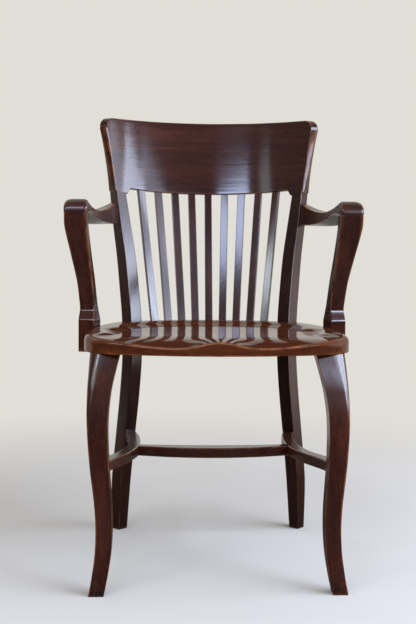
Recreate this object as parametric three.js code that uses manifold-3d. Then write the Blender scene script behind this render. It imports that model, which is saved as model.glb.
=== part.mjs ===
// A wooden captain's chair: saddle seat, arms that turn over their supports, a curved crest rail over
// nine slats, two bow stretchers and a cross stretcher. Millimetres, +Z up, the chair faces -Y and is
// symmetric about X = 0. Places are worked out with the seat's front edge at Y = 0; the last lines
// centre the whole chair over the origin.
import * as THREE from 'three';
import { mergeVertices } from 'three/addons/utils/BufferGeometryUtils.js';
import Module from 'manifold-3d';

const wasm = await Module();
wasm.setup();

// Fits that the whole chair shares.
const clearance = 0.3;
const overrun = 12;
const arris = 1.2;

// The seat: a thick board with a saddle dish, whose thigh hollows run out over the front edge.
const seatHeight = 450;
const seatThickness = 31.6;
const seatHalfWidth = 249.5;
const seatDepth = 481;
const seatEdgeRound = 5;
const seatUnderRound = 3;
const seatRearRim = 24;
const basinDepth = 7;
const basinFrontDepth = 3;
const basinReach = 240;
const hollowDepth = 20;
const hollowReach = 95;
const dishFall = 34;
const seatAcrossShares = [
  0, 0.28, 0.538, 0.703, 0.826, 0.921, 0.971, 0.992, 1, 0.995, 0.982, 0.942, 0.87, 0.769,
];
const seatBackShares = [
  0, 0.01, 0.035, 0.058, 0.085, 0.123, 0.168, 0.247, 0.33, 0.424, 0.538, 0.653, 0.767, 0.875,
];
const dishAngleShares = [
  0, 0.2, 0.25, 0.287, 0.32, 0.353, 0.456, 0.495, 0.53, 0.607, 0.688, 0.744, 0.824, 0.912, 1,
];
const dishRimShares = [
  1.3, 1.3, 1.2, 1.08, 0.95, 0.87, 0.9, 0.862, 0.82, 0.845, 0.86, 0.84, 0.905, 0.89, 0.89,
];
const hollowAlongShares = [0, 0.42, 0.63, 1];
const hollowRollShares = [1, 0.372, 0.137, 0];
const hollowAcrossShares = [0, 0.08, 0.18, 0.3, 0.45, 0.6, 0.73, 0.83, 0.92, 1];
const hollowDepthShares = [0.25, 0.4, 0.74, 0.95, 1, 0.9, 0.7, 0.5, 0.3, 0.2];

// The back: one leaning cylinder carries the front faces of the crest rail and the slats.
const backRadius = 320;
const backLean = 0.335;

// The crest rail: a deep curved board with flared ends and an ear over each post.
const crestRise = 281;
const crestHeight = 168;
const crestHalfWidth = 207.3;
const crestFlare = 0.184;
const crestBow = 3;
const crestThickness = 25;
const crestTopThickness = 18;
const crestCorner = 24;
const crestEdgeRound = 3;
const crestSag = 9;
const crestEndRound = 8;
const crestEndRoundFall = 110;
const earWidth = 31.3;
const earDrop = 12.5;
const earStep = 10;
const earStepShare = 0.6;

// The slats, fanned out from the seat to the crest rail.
const slatCount = 9;
const slatFootPitch = 29.5;
const slatTopPitch = 37.2;
const slatWidth = 16.4;
const slatDepth = 10;
const slatSetback = 2;
const slatTenon = 14;

// The back posts, which run on below the seat as the rear legs. Their square section is turned.
const postOut = 168.9;
const postSquare = 30.6;
const postHeadSquare = 25.4;
const postFootSquare = 23.2;
const postProud = 6;
const postTurn = 46;
const postHeadTurn = 49;
const postFootSpread = 24.6;
const postHeadSpread = 32;
const postFootTuck = 17;
const postTenon = 26;
const postTenonSquare = 14;
const postLegShares = [0, 0.162, 0.265, 0.495, 0.659, 0.828, 1];
const postBackShares = [0.297, 0.518, 0.732, 1];
const postSpreadShares = [1, 0.92, 0.825, 0.43, 0.146, -0.045, 0, 0.24, 0.46, 0.74, 1.07];
const postSizeShares = [0, 0.62, 0.87, 0.93, 0.98, 1, 1, 0.97, 0.85, 0.6, 0];
const postTuckShares = [0.94, 1, 1.12, 1.15, 1.02, 0.72, 0];

// The front legs: flared at the top, with a rounded knee, and a foot that kicks outward and forward.
const legTop = 56;
const legTopDepth = 40;
const legFoot = 27;
const legKneeAcross = 40;
const legKneeBack = 24;
const legInset = 16.2;
const legSetback = 69;
const legRake = 86;
const legKick = 12;
const legTenonRadius = 15;
const legTenonLength = 14;
const legHeightShares = [0, 0.09, 0.2, 0.34, 0.56, 0.72, 0.84, 0.925, 1];
const legOutShares = [0.845, 0.267, -0.16, -0.155, 0.61, 0.91, 0.752, 0.38, 0];
const legRakeShares = [0, 0.066, 0.159, 0.224, 0.366, 0.528, 0.712, 0.86, 1];
const legWidthShares = [0, 0.035, 0.066, 0.117, 0.255, 0.379, 0.559, 0.776, 1];
const legDepthShares = [0, 0.04, 0.1, 0.2, 0.45, 0.6, 0.75, 0.9, 1];
const legKneeShares = [0.05, 0.05, 0.06, 0.08, 0.13, 0.22, 0.46, 0.72, 1];

// The side stretchers, which bow inward between the legs, and the cross stretcher between them.
const bowTop = 226;
const bowFall = 11;
const bowWidth = 23;
const bowThickness = 19.5;
const bowReach = 32.5;
const bowAlongShares = [0, 0.115, 0.258, 0.338, 0.489, 0.651, 0.83, 0.92, 1];
const bowInShares = [0, 0.25, 0.71, 0.87, 1, 0.85, 0.52, 0.26, 0];
const crossPlaceShare = 0.508;
const crossWidth = 19;
const crossBellyFront = 25;
const crossBellyBack = 10;
const crossThickness = 19.5;
const stretcherTenon = 13;
const tenonShoulder = 4;

// The arm supports: a block screwed to the seat's side, a neck, and a head that swells to the arm.
const supportPlace = 269;
const supportFootDrop = 52;
const supportBlockRise = 13;
const supportNeckRise = 35;
const supportHousing = 3.5;
const supportCap = 9;
const supportCapInset = 4;
const supportWidth = 34.2;
const supportDepth = 35;
const supportTurn = 19;
const supportHeadTurn = 1;
const supportNeck = 30.8;
const supportNeckDepth = 23.5;
const supportNeckInset = 0.8;
const supportNeckSetback = 13;
const supportHead = 47;
const supportHeadInset = 10.5;
const supportHeadDepth = 30;
const supportThrow = 50.5;
const supportEdgeRound = 8;
const supportScrewPitch = 15;
const supportUpShares = [0, 0.05, 0.29, 0.56, 0.87, 1];
const supportWidthShares = [0, 0, 0.117, 0.469, 0.957, 1];
const supportInShares = [0, 0, 0.22, 0.66, 1.04, 1];
const supportThrowShares = [0, 0.02, 0.24, 0.53, 0.88, 1];

// The arms: a tall thin board at the post that twists and widens into a flat pad.
const armRise = 256;
const armPadThickness = 30;
const armDip = 19;
const armRoot = 22;
const armRootHeight = 44;
const armWidth = 47;
const armFrontInset = 10.5;
const armFrontRound = 29;
const armNoseCorner = 8;
const armCornerRound = 19;
const armEdgeRound = 3;
const armSwellShare = 0.333;
const armInnerRoundShare = 0.4;
const armAlongShares = [0, 0.07, 0.165, 0.283, 0.418, 0.578, 0.747, 0.873, 1];
const armOutShares = [0, 0.06, 0.28, 0.52, 0.705, 0.853, 0.945, 1, 1];
const armTopShares = [-0.25, 0, 0.52, 0.9, 1, 0.79, 0.42, 0.08, 0];
const armUnderInShares = [0, 0, -0.07, 0.14, 0.62, 1.2, 1.4, 1.2, 1];
const armUnderOutShares = [-0.1, -0.14, -0.21, -0.29, -0.21, 0, 0.75, 1, 1];

// Fasteners: wood screws in counterbored holes, each under a wood plug, and a dowel in each arm.
const screwShank = 4.4;
const screwTip = 1.2;
const screwHead = 8.6;
const screwHeadDepth = 3;
const screwLength = 42;
const armScrewLength = 36;
const armScrewInset = 6;
const plugRadius = 4.8;
const plugLength = 7;
const slotWidth = 1.4;
const slotDepth = 1.1;
const dowelRadius = 5;
const dowelLength = 30;
const roundSides = 12;

// Colours of the finish.
const mahogany = { color: 0x3d1a12, roughness: 0.28, metalness: 0 };
const plugWood = { color: 0x351710, roughness: 0.4, metalness: 0 };
const beech = { color: 0xb98e5c, roughness: 0.7, metalness: 0 };
const steel = { color: 0x8d8b88, roughness: 0.4, metalness: 0.9 };

const degrees = Math.PI / 180;
const chair = new THREE.Group();

// A solid from a geometry, joined at its shared corners.
function solidOf(geometry) {
  const bare = new THREE.BufferGeometry();
  bare.setAttribute('position', geometry.getAttribute('position'));
  bare.setIndex(geometry.index);
  const merged = mergeVertices(bare);
  return new wasm.Manifold(new wasm.Mesh({
    numProp: 3,
    vertProperties: new Float32Array(merged.attributes.position.array),
    triVerts: new Uint32Array(merged.index.array),
  }));
}

// Adds a solid to the chair as a named mesh.
function addPart(name, solid, look) {
  const mesh = solid.getMesh();
  const geometry = new THREE.BufferGeometry();
  geometry.setAttribute('position', new THREE.BufferAttribute(new Float32Array(mesh.vertProperties), 3));
  geometry.setIndex(new THREE.BufferAttribute(new Uint32Array(mesh.triVerts), 1));
  geometry.computeVertexNormals();
  const part = new THREE.Mesh(geometry, new THREE.MeshStandardMaterial(look));
  part.name = name;
  chair.add(part);
}

function mix(a, b, t) {
  return a + (b - a) * t;
}

function eased(t) {
  const u = Math.min(Math.max(t, 0), 1);
  return u * u * (3 - 2 * u);
}

// A smooth value through a table whose stops rise.
function through(stops, values, place) {
  const last = stops.length - 1;
  const t = Math.min(Math.max(place, stops[0]), stops[last]);
  let i = 0;
  while (i < last - 1 && t > stops[i + 1]) i += 1;
  const span = stops[i + 1] - stops[i];
  const slope = (k) => {
    const a = Math.max(k - 1, 0);
    const b = Math.min(k + 1, last);
    return (values[b] - values[a]) / (stops[b] - stops[a]);
  };
  const u = (t - stops[i]) / span;
  const start = (1 + 2 * u) * (1 - u) ** 2 * values[i] + u * (1 - u) ** 2 * span * slope(i);
  const end = u * u * (3 - 2 * u) * values[i + 1] + u * u * (u - 1) * span * slope(i + 1);
  return start + end;
}

// A closed solid through rings of as many points each, with a fan over each end.
function loft(rings) {
  const count = rings[0].length;
  const points = rings.flat();
  const faces = [];
  for (let r = 0; r + 1 < rings.length; r += 1) {
    for (let i = 0; i < count; i += 1) {
      const a = r * count + i;
      const b = r * count + (i + 1) % count;
      faces.push(a, b, b + count, a, b + count, a + count);
    }
  }
  [0, rings.length - 1].forEach((r) => {
    points.push(rings[r].reduce((sum, p) => sum.add(p), new THREE.Vector3()).divideScalar(count));
    for (let i = 0; i < count; i += 1) {
      const a = r * count + i;
      const b = r * count + (i + 1) % count;
      faces.push(points.length - 1, ...(r === 0 ? [b, a] : [a, b]));
    }
  });
  let volume = 0;
  for (let f = 0; f < faces.length; f += 3) {
    const [a, b, c] = [points[faces[f]], points[faces[f + 1]], points[faces[f + 2]]];
    volume += a.dot(new THREE.Vector3().crossVectors(b, c));
  }
  if (volume < 0) faces.reverse();
  const geometry = new THREE.BufferGeometry();
  const places = points.flatMap((p) => p.toArray());
  geometry.setAttribute('position', new THREE.Float32BufferAttribute(places, 3));
  geometry.setIndex(faces);
  return solidOf(geometry);
}

// The same ring, moved outward in its own plane. A sharp corner moves at most twice as far.
const sharpestShare = 0.5;
function grownRing(ring, by) {
  const count = ring.length;
  const normal = new THREE.Vector3();
  ring.forEach((p, i) => {
    normal.add(new THREE.Vector3().crossVectors(p, ring[(i + 1) % count]));
  });
  normal.normalize();
  return ring.map((p, i) => {
    const before = p.clone().sub(ring[(i + count - 1) % count]).cross(normal).normalize();
    const after = ring[(i + 1) % count].clone().sub(p).cross(normal).normalize();
    const out = before.clone().add(after).normalize();
    return p.clone().addScaledVector(out, by / Math.max(out.dot(after), sharpestShare));
  });
}

// A loft that leaves the clearance all round the one through the same rings.
function grownLoft(rings) {
  const grown = rings.map((ring) => grownRing(ring, clearance));
  const push = (k, next) => {
    const along = rings[k][0].clone().sub(rings[next][0]).normalize().multiplyScalar(clearance);
    grown[k].forEach((p) => p.add(along));
  };
  push(0, 1);
  push(rings.length - 1, rings.length - 2);
  return loft(grown);
}

// A flat shape's corners, rounded by a curve that starts a radius away from each. A pair of radii gives
// one for the side before the corner and one for the side after it.
function roundedCorners(corners, radii, steps) {
  const count = corners.length;
  return corners.flatMap((corner, i) => {
    const [from, to] = [radii[i], radii[i]].flat();
    const before = corners[(i + count - 1) % count].clone().sub(corner).setLength(from).add(corner);
    const after = corners[(i + 1) % count].clone().sub(corner).setLength(to).add(corner);
    return new THREE.QuadraticBezierCurve3(before, corner, after).getPoints(steps);
  });
}

// A rectangle with softened corners, round a place, along two directions.
function squareRing(at, u, v, width, depth, radii = Array(4).fill(arris), steps = 1) {
  const corner = (a, b) => at.clone().addScaledVector(u, a * width / 2).addScaledVector(v, b * depth / 2);
  return roundedCorners([corner(1, 1), corner(-1, 1), corner(-1, -1), corner(1, -1)], radii, steps);
}

// Rings for a straight bar from one place to another.
function barRings(from, to, width, thickness, round = arris) {
  const along = to.clone().sub(from).normalize();
  const level = new THREE.Vector3(along.y, -along.x, 0).normalize();
  const rise = new THREE.Vector3().crossVectors(level, along).normalize();
  return [from, to].map((at) => squareRing(at, level, rise, width, thickness, Array(4).fill(round)));
}

// A turned solid along a direction: stops are pairs of a distance and a radius.
function turned(from, direction, stops) {
  const u = new THREE.Vector3(-direction.y, direction.x, 0);
  if (u.length() < 0.5) u.set(1, 0, 0);
  u.normalize();
  const v = new THREE.Vector3().crossVectors(direction, u).normalize();
  return loft(stops.map(([along, radius]) => Array.from({ length: roundSides }, (_, i) => {
    const angle = 2 * Math.PI * i / roundSides;
    return from.clone().addScaledVector(direction, along)
      .addScaledVector(u, radius * Math.cos(angle)).addScaledVector(v, radius * Math.sin(angle));
  })));
}

function flipped(point) {
  return new THREE.Vector3(-point.x, point.y, point.z);
}

// The mirror image of a solid, for the other side of the chair.
function mirrorImage(solid) {
  const { vertProperties, triVerts } = solid.getMesh();
  return new wasm.Manifold(new wasm.Mesh({
    numProp: 3,
    vertProperties: vertProperties.map((value, i) => (i % 3 ? value : -value)),
    triVerts: triVerts.toReversed(),
  }));
}
function addPair(name, solid, look) {
  addPart(`${name}_right`, solid, look);
  addPart(`${name}_left`, mirrorImage(solid), look);
}
function cutBothSides(solid, cutters) {
  return cutters.reduce((rest, cutter) => rest.subtract(cutter).subtract(mirrorImage(cutter)), solid);
}

// The seat's outline: a spline round the front and side, then an arc behind the slats.
const seatUnderside = seatHeight - seatThickness;
const rearRadius = backRadius + seatRearRim;
const rearCentre = seatDepth - rearRadius;
const seatSide = new THREE.CatmullRomCurve3(seatAcrossShares.map((across, i) => new THREE.Vector3(
  across * seatHalfWidth, seatBackShares[i] * seatDepth, 0,
)), false, 'centripetal');
const seatSidePoints = 27;
const seatRearPoints = 9;

function seatOutline() {
  const half = seatSide.getSpacedPoints(seatSidePoints);
  const end = half[half.length - 1];
  const from = Math.atan2(end.y - rearCentre, end.x);
  const endReach = Math.hypot(end.x, end.y - rearCentre);
  for (let i = 1; i <= seatRearPoints; i += 1) {
    const angle = mix(from, Math.PI / 2, i / seatRearPoints);
    const reach = mix(endReach, rearRadius, eased(2 * i / seatRearPoints));
    half.push(new THREE.Vector3(reach * Math.cos(angle), rearCentre + reach * Math.sin(angle), 0));
  }
  return half.concat(half.slice(1, -1).reverse().map(flipped));
}

// How far out the seat's side lies at a distance from its front.
const seatSideSamples = 200;
function seatSideAt(back) {
  const points = seatSide.getPoints(seatSideSamples);
  const next = Math.max(points.findIndex((p) => p.y > back), 1);
  const share = (back - points[next - 1].y) / (points[next].y - points[next - 1].y);
  return mix(points[next - 1].x, points[next].x, share);
}

// How deep the dish lies below the rim at a place on the seat, given how far the outline is there.
const seatMiddle = new THREE.Vector3(0, seatDepth / 2, 0);
function dishDepth(x, y, outlineReach) {
  const reach = Math.hypot(x, y - seatMiddle.y);
  const angleShare = Math.atan2(Math.abs(x), seatMiddle.y - y) / Math.PI;
  const rim = through(dishAngleShares, dishRimShares, angleShare) * outlineReach;
  const hollow = hollowDepth * through(hollowAcrossShares, hollowDepthShares, Math.abs(x) / seatHalfWidth);
  const basin = mix(basinFrontDepth, basinDepth, eased(y / basinReach));
  const roll = through(hollowAlongShares, hollowRollShares, y / hollowReach);
  return mix(basin, hollow, roll) * eased((rim - reach) / dishFall);
}

function seatSolid() {
  const outline = seatOutline();
  const reaches = outline.map((p) => p.distanceTo(seatMiddle));
  const inset = (i, by) => outline[i].clone().sub(seatMiddle).setLength(reaches[i] - by).add(seatMiddle);
  const top = (p, i) => seatHeight - dishDepth(p.x, p.y, reaches[i]);
  const quarter = [0, 1, 2].map((k) => k * Math.PI / 4);
  const under = quarter.map((a) => outline.map((_, i) => inset(i, seatUnderRound * (1 - Math.sin(a)))
    .setZ(seatUnderside + seatUnderRound * (1 - Math.cos(a)))));
  const over = quarter.map((a) => outline.map((_, i) => {
    const at = inset(i, seatEdgeRound * (1 - Math.cos(a)));
    return at.setZ(top(inset(i, seatEdgeRound), i) - seatEdgeRound * (1 - Math.sin(a)));
  }));
  const topShares = [0.95, 0.91, 0.87, 0.82, 0.76, 0.68, 0.56, 0.38, 0.18];
  const across = topShares.map((share) => outline.map((_, i) => {
    const at = inset(i, reaches[i] * (1 - share));
    return at.setZ(top(at, i));
  }));
  return loft([...under, ...over, ...across]);
}

// Heights that go with the seat's.
const crestBottom = seatHeight + crestRise;
const armTop = seatHeight + armRise;
const supportFoot = seatHeight - supportFootDrop;
const supportBlockTop = seatHeight + supportBlockRise;
const supportNeckHeight = seatHeight + supportNeckRise;

// The back's leaning cylinder: how far back a face behind its front one lies, across and up.
function backAxis(z) {
  return seatDepth - seatRearRim - backRadius + backLean * (z - seatHeight);
}
function backFace(x, z, behind) {
  return backAxis(z) + Math.sqrt((backRadius + behind) ** 2 - x * x);
}

// The posts: their centre line, their turn and their section at a height.
const postLegHeights = postLegShares.map((share) => share * seatHeight);
const postBackHeights = postBackShares.map((share) => mix(seatHeight, crestBottom, share));
const postHeights = [...postLegHeights, ...postBackHeights];
const aboveSeat = (z) => Math.max(z - seatHeight, 0) / crestRise;
function postCentre(z) {
  const spread = z < seatHeight ? postFootSpread : postHeadSpread;
  const x = postOut + spread * through(postHeights, postSpreadShares, z);
  const behind = mix(postSquare / 2 - postProud, crestThickness / 2, aboveSeat(z));
  const tuck = postFootTuck * through(postLegHeights, postTuckShares, z);
  const back = z < seatHeight ? backFace(postOut, seatHeight, behind) - tuck : backFace(x, z, behind);
  return new THREE.Vector3(x, back, z);
}
function postFrame(z) {
  const turn = mix(postTurn, postHeadTurn, eased(aboveSeat(z))) * degrees;
  return {
    at: postCentre(z),
    front: new THREE.Vector3(Math.sin(turn), -Math.cos(turn), 0),
    out: new THREE.Vector3(Math.cos(turn), Math.sin(turn), 0),
    square: mix(
      z < seatHeight ? postFootSquare : postHeadSquare,
      postSquare,
      through(postHeights, postSizeShares, z),
    ),
  };
}
const postStations = 15;
const postTop = crestBottom + crestSag;
const postRings = Array.from({ length: postStations + 1 }, (_, k) => {
  const f = postFrame(postTop * k / postStations);
  return squareRing(f.at, f.front, f.out, f.square, f.square);
});

// The crest rail, as columns from one end to the other. Growing it gives its mates their clearance.
const crestTop = crestBottom + crestHeight;
function crestHalf(z) {
  const up = (z - crestBottom) / crestHeight;
  return crestHalfWidth + crestFlare * (z - crestBottom) - crestBow * 4 * up * (1 - up);
}
function crestLower(x) {
  const past = Math.abs(x) - crestHalfWidth + earWidth;
  const level = crestSag * Math.min(Math.abs(x) / (crestHalfWidth - earWidth), 1) ** 2;
  const rise = crestSag / 2 * Math.max(past, 0) / earWidth;
  return crestBottom + level + rise - earDrop * eased(past / earStep + 0.5);
}

// Stops across half of the crest rail: close together at the ear's step and round the top corner.
const cornerShare = crestCorner / crestHalf(crestTop);
function crestStops() {
  const stepIn = 1 - (earWidth + earStepShare * earStep) / crestHalfWidth;
  const stepOut = 1 - (earWidth - earStepShare * earStep) / crestHalfWidth;
  const runs = [[0, stepIn, 9], [stepIn, stepOut, 6], [stepOut, 1 - cornerShare, 1]];
  const half = runs.flatMap(([from, to, count]) => (
    Array.from({ length: count }, (_, i) => mix(from, to, i / count))));
  const cornerSteps = 5;
  for (let i = 0; i <= cornerSteps; i += 1) {
    half.push(1 - cornerShare + cornerShare * Math.sin(i / cornerSteps * Math.PI / 2));
  }
  return [...half.slice(1).reverse().map((share) => -share), ...half];
}

// One column's ring. Sinking it draws it in from its faces, which rounds the ends of the rail. A point
// of it lies on the front or the back, sunk from that face, and inset from the rail's lower or upper edge.
const crestRows = 4;
function crestRing(across, sunk, grow) {
  const past = Math.max(Math.abs(across) - 1 + cornerShare, 0) / cornerShare;
  const cornerFall = 1 - Math.sqrt(Math.max(1 - past * past, 0));
  const place = (up, onBack, edgeSink, inset) => {
    const low = crestLower(across * crestHalfWidth) + inset + sunk - grow;
    const high = crestTop - inset - sunk + grow - (crestCorner - inset - sunk) * cornerFall;
    const z = mix(low, high, up);
    const endInset = (crestEdgeRound - sunk - grow) / backRadius;
    const angle = across * (Math.asin(crestHalf(z) / backRadius) - endInset);
    const thickness = mix(crestThickness, crestTopThickness, (z - crestBottom) / crestHeight);
    const endRound = (crestEndRound - crestEdgeRound) * eased((z - crestTop) / crestEndRoundFall + 1);
    const faceSink = sunk * (1 + endRound / crestEdgeRound);
    const r = backRadius + (onBack ? thickness - edgeSink + grow - sunk : edgeSink - grow + faceSink);
    return new THREE.Vector3(r * Math.sin(angle), backAxis(z) + r * Math.cos(angle), z);
  };
  const rows = Array.from({ length: crestRows + 1 }, (_, k) => k / crestRows);
  const edge = crestEdgeRound;
  return [
    ...rows.map((up) => place(up, false, 0, edge)), place(1, false, edge, 0), place(1, true, edge, 0),
    ...rows.map((up) => place(1 - up, true, 0, edge)), place(0, true, edge, 0), place(0, false, edge, 0),
  ];
}
function crestSolid(grow) {
  const stops = crestStops();
  const rings = stops.map((across) => crestRing(across, 0, grow));
  return loft([crestRing(-1, crestEdgeRound, grow), ...rings, crestRing(1, crestEdgeRound, grow)]);
}

// A slat's rings, from its foot in the seat to its head in the crest rail.
const slatStations = 2;
function slatRings(index) {
  const fromMiddle = index - (slatCount - 1) / 2;
  return Array.from({ length: slatStations + 1 }, (_, i) => {
    const z = mix(seatHeight - slatTenon, crestBottom + slatTenon, i / slatStations);
    const pitch = mix(slatFootPitch, slatTopPitch, (z - seatHeight) / (crestBottom - seatHeight));
    const angle = Math.asin(fromMiddle * pitch / backRadius);
    const r = backRadius + slatSetback + slatDepth / 2;
    const at = new THREE.Vector3(r * Math.sin(angle), backAxis(z) + r * Math.cos(angle), z);
    const along = new THREE.Vector3(Math.cos(angle), -Math.sin(angle), 0);
    const behind = new THREE.Vector3(Math.sin(angle), Math.cos(angle), 0);
    return squareRing(at, along, behind, slatWidth, slatDepth);
  });
}

// A front leg's centre and size at a share of its height, under the seat's front corner.
const legHeight = seatUnderside - clearance;
const legHeadOut = seatHalfWidth - legInset - legTop / 2;
function legWidth(share) {
  return mix(legFoot, legTop, through(legHeightShares, legWidthShares, share));
}
function legDepth(share) {
  return mix(legFoot, legTopDepth, through(legHeightShares, legDepthShares, share));
}
function legCentre(share) {
  const out = through(legHeightShares, legOutShares, share);
  const rake = 1 - through(legHeightShares, legRakeShares, share);
  return new THREE.Vector3(legHeadOut + legKick * out, legSetback - legRake * rake, legHeight * share);
}
const legStations = 18;
const acrossX = new THREE.Vector3(1, 0, 0);
const acrossY = new THREE.Vector3(0, 1, 0);
const upward = new THREE.Vector3(0, 0, 1);
const legRings = Array.from({ length: legStations + 1 }, (_, k) => {
  const share = k / legStations;
  const knee = through(legHeightShares, legKneeShares, share);
  const radii = [arris, arris, arris, [legKneeAcross * knee, legKneeBack * knee]];
  return squareRing(legCentre(share), acrossX, acrossY, legWidth(share), legDepth(share), radii, 2);
});

// A side stretcher's centre line, from a front leg's rear face to a post's front face.
const bowMiddle = bowTop - bowThickness / 2;
const bowStartShare = bowMiddle / legHeight;
const bowStart = legCentre(bowStartShare).addScaledVector(acrossY, legDepth(bowStartShare) / 2);
const bowEndPost = postFrame(bowMiddle - bowFall);
const bowEnd = bowEndPost.at.clone().addScaledVector(bowEndPost.out, -bowEndPost.square / 2);
function bowAt(share) {
  const inward = bowReach * through(bowAlongShares, bowInShares, share);
  const at = bowStart.clone().lerp(bowEnd, share);
  return at.setX(at.x - inward);
}
const bowStations = 16;
const bowPath = Array.from({ length: bowStations + 1 }, (_, k) => bowAt(k / bowStations));
function pathHeading(points, k) {
  const a = points[Math.max(k - 1, 0)];
  const b = points[Math.min(k + 1, points.length - 1)];
  return b.clone().sub(a).setZ(0).normalize();
}
const bowFrontHeading = pathHeading(bowPath, 0);
const bowRearHeading = pathHeading(bowPath, bowStations);

// Its ends lie parallel to the faces that they meet, a little inside the leg and the post.
function bowEndRing(at, faceSide, inward) {
  return squareRing(
    at.clone().addScaledVector(inward, overrun / 2), faceSide, upward, bowWidth, bowThickness,
  );
}
function bowRings() {
  const middle = bowPath.slice(1, -1).map((at, k) => {
    const heading = pathHeading(bowPath, k + 1);
    return squareRing(at, new THREE.Vector3(heading.y, -heading.x, 0), upward, bowWidth, bowThickness);
  });
  return [
    bowEndRing(bowPath[0], acrossX, acrossY.clone().negate()), ...middle,
    bowEndRing(bowPath[bowStations], bowEndPost.front, bowEndPost.out),
  ];
}
// The tenon at an end of a stretcher, from inside its body into the piece that it joins.
function tenonRings(at, heading, width, thickness) {
  const from = at.clone().addScaledVector(heading, -overrun);
  const to = at.clone().addScaledVector(heading, stretcherTenon);
  return barRings(from, to, width - 2 * tenonShoulder, thickness - 2 * tenonShoulder);
}

// The cross stretcher, whose front and back edges both belly forward.
const crossEnd = bowAt(crossPlaceShare);
const crossMiddle = crossEnd.z + (bowThickness - crossThickness) / 2;
const crossStations = 12;
const crossHalf = crossEnd.x - bowWidth / 2;
function crossRings() {
  return Array.from({ length: crossStations + 1 }, (_, k) => {
    const x = mix(-crossHalf - overrun / 2, crossHalf + overrun / 2, k / crossStations);
    const belly = 1 - Math.min(Math.abs(x) / crossHalf, 1) ** 2;
    const front = crossEnd.y - crossWidth / 2 - crossBellyFront * belly;
    const back = crossEnd.y + crossWidth / 2 - crossBellyBack * belly;
    const at = new THREE.Vector3(x, (front + back) / 2, crossMiddle);
    return squareRing(at, acrossY, upward, back - front, crossThickness);
  });
}

// An arm: its root meets the post's outer front face, and its front end lies over the support.
const supportOut = seatSideAt(supportPlace) - supportHousing;
const armRootFrame = postFrame(armTop - armRootHeight / 2);
const armFront = supportPlace + supportNeckSetback - supportThrow;
function armRail(across, t, z) {
  const post = postFrame(z);
  const root = post.at.addScaledVector(post.front, post.square / 2)
    .addScaledVector(post.out, armRoot * (across - 0.5));
  const outward = supportOut + armFrontInset + armWidth * across - root.x;
  return new THREE.Vector3(
    root.x + outward * through(armAlongShares, armOutShares, t), mix(root.y, armFront, t), z,
  );
}
function armRing(t, drop, pull = 0) {
  const high = armTop - armDip * through(armAlongShares, armTopShares, t) - drop;
  const under = (shares) => armTop - armRootHeight
    + (armRootHeight - armPadThickness) * through(armAlongShares, shares, t);
  const left = 1 - drop / armPadThickness;
  const swell = eased((t - armSwellShare) / (1 - armSwellShare)) * left;
  const corners = [
    armRail(0, t, under(armUnderInShares)), armRail(1, t, under(armUnderOutShares)),
    armRail(1, t, high), armRail(0, t, high),
  ];
  corners.forEach((corner, i) => corner.addScaledVector(acrossX, i === 0 || i === 3 ? pull : -pull));
  const edgeRound = armEdgeRound * left;
  const outerRound = mix(edgeRound, armCornerRound, swell);
  return roundedCorners(corners, [
    arris * left, edgeRound, outerRound, mix(edgeRound, outerRound, armInnerRoundShare),
  ], 3);
}
const armStations = 15;
const armNoseSteps = 5;
function armRings() {
  const flat = 1 - armFrontRound / (armRootFrame.at.y - armFront);
  const rings = Array.from({ length: armStations + 1 }, (_, k) => armRing(flat * k / armStations, 0));
  const back = armRootFrame.front.clone().multiplyScalar(-overrun);
  rings.unshift(rings[0].map((p) => p.clone().add(back)));
  for (let k = 1; k <= armNoseSteps; k += 1) {
    const angle = k / armNoseSteps * Math.PI / 2;
    const ahead = Math.max(1 - armFrontRound * (1 - Math.sin(angle)) / armNoseCorner, 0);
    const pull = armNoseCorner * (1 - Math.sqrt(1 - ahead * ahead));
    rings.push(armRing(mix(flat, 1, Math.sin(angle)), armFrontRound * (1 - Math.cos(angle)), pull));
  }
  return rings;
}

// An arm support: a block against the seat's side, a bevel up to the neck, and the swelling head, whose
// front corners grow rounder on the way up. The cap above it draws in, so that it stays under the arm.
function supportRing(z, inner, front, width, depth, turn, round = arris) {
  const u = new THREE.Vector3(Math.cos(turn), Math.sin(turn), 0);
  const v = new THREE.Vector3(-Math.sin(turn), Math.cos(turn), 0);
  const at = new THREE.Vector3(inner, front, z).addScaledVector(u, width / 2).addScaledVector(v, depth / 2);
  return squareRing(at, u, v, width, depth, [arris, arris, round, round], 2);
}
const supportTop = armTop - armPadThickness - clearance;
const supportStations = 10;
function supportRings() {
  const turn = supportTurn * degrees;
  const block = [supportFoot, supportBlockTop].map((z) => (
    supportRing(z, supportOut, supportPlace, supportWidth, supportDepth, turn)));
  const head = Array.from({ length: supportStations + 1 }, (_, k) => {
    const up = k / supportStations;
    const table = (shares) => through(supportUpShares, shares, up);
    return supportRing(
      mix(supportNeckHeight, supportTop, up),
      supportOut + mix(supportNeckInset, supportHeadInset, table(supportInShares)),
      supportPlace + supportNeckSetback - supportThrow * table(supportThrowShares),
      mix(supportNeck, supportHead, table(supportWidthShares)),
      mix(supportNeckDepth, supportHeadDepth, up),
      mix(supportTurn, supportHeadTurn, Math.sqrt(up)) * degrees,
      mix(arris, supportEdgeRound, up),
    );
  });
  const cap = supportRing(
    supportTop + supportCap, supportOut + supportHeadInset + supportCapInset,
    supportPlace + supportNeckSetback - supportThrow + supportCapInset,
    supportHead - 2 * supportCapInset, supportHeadDepth - supportCapInset,
    supportHeadTurn * degrees, supportEdgeRound,
  );
  return [...block, ...head, cap];
}

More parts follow.
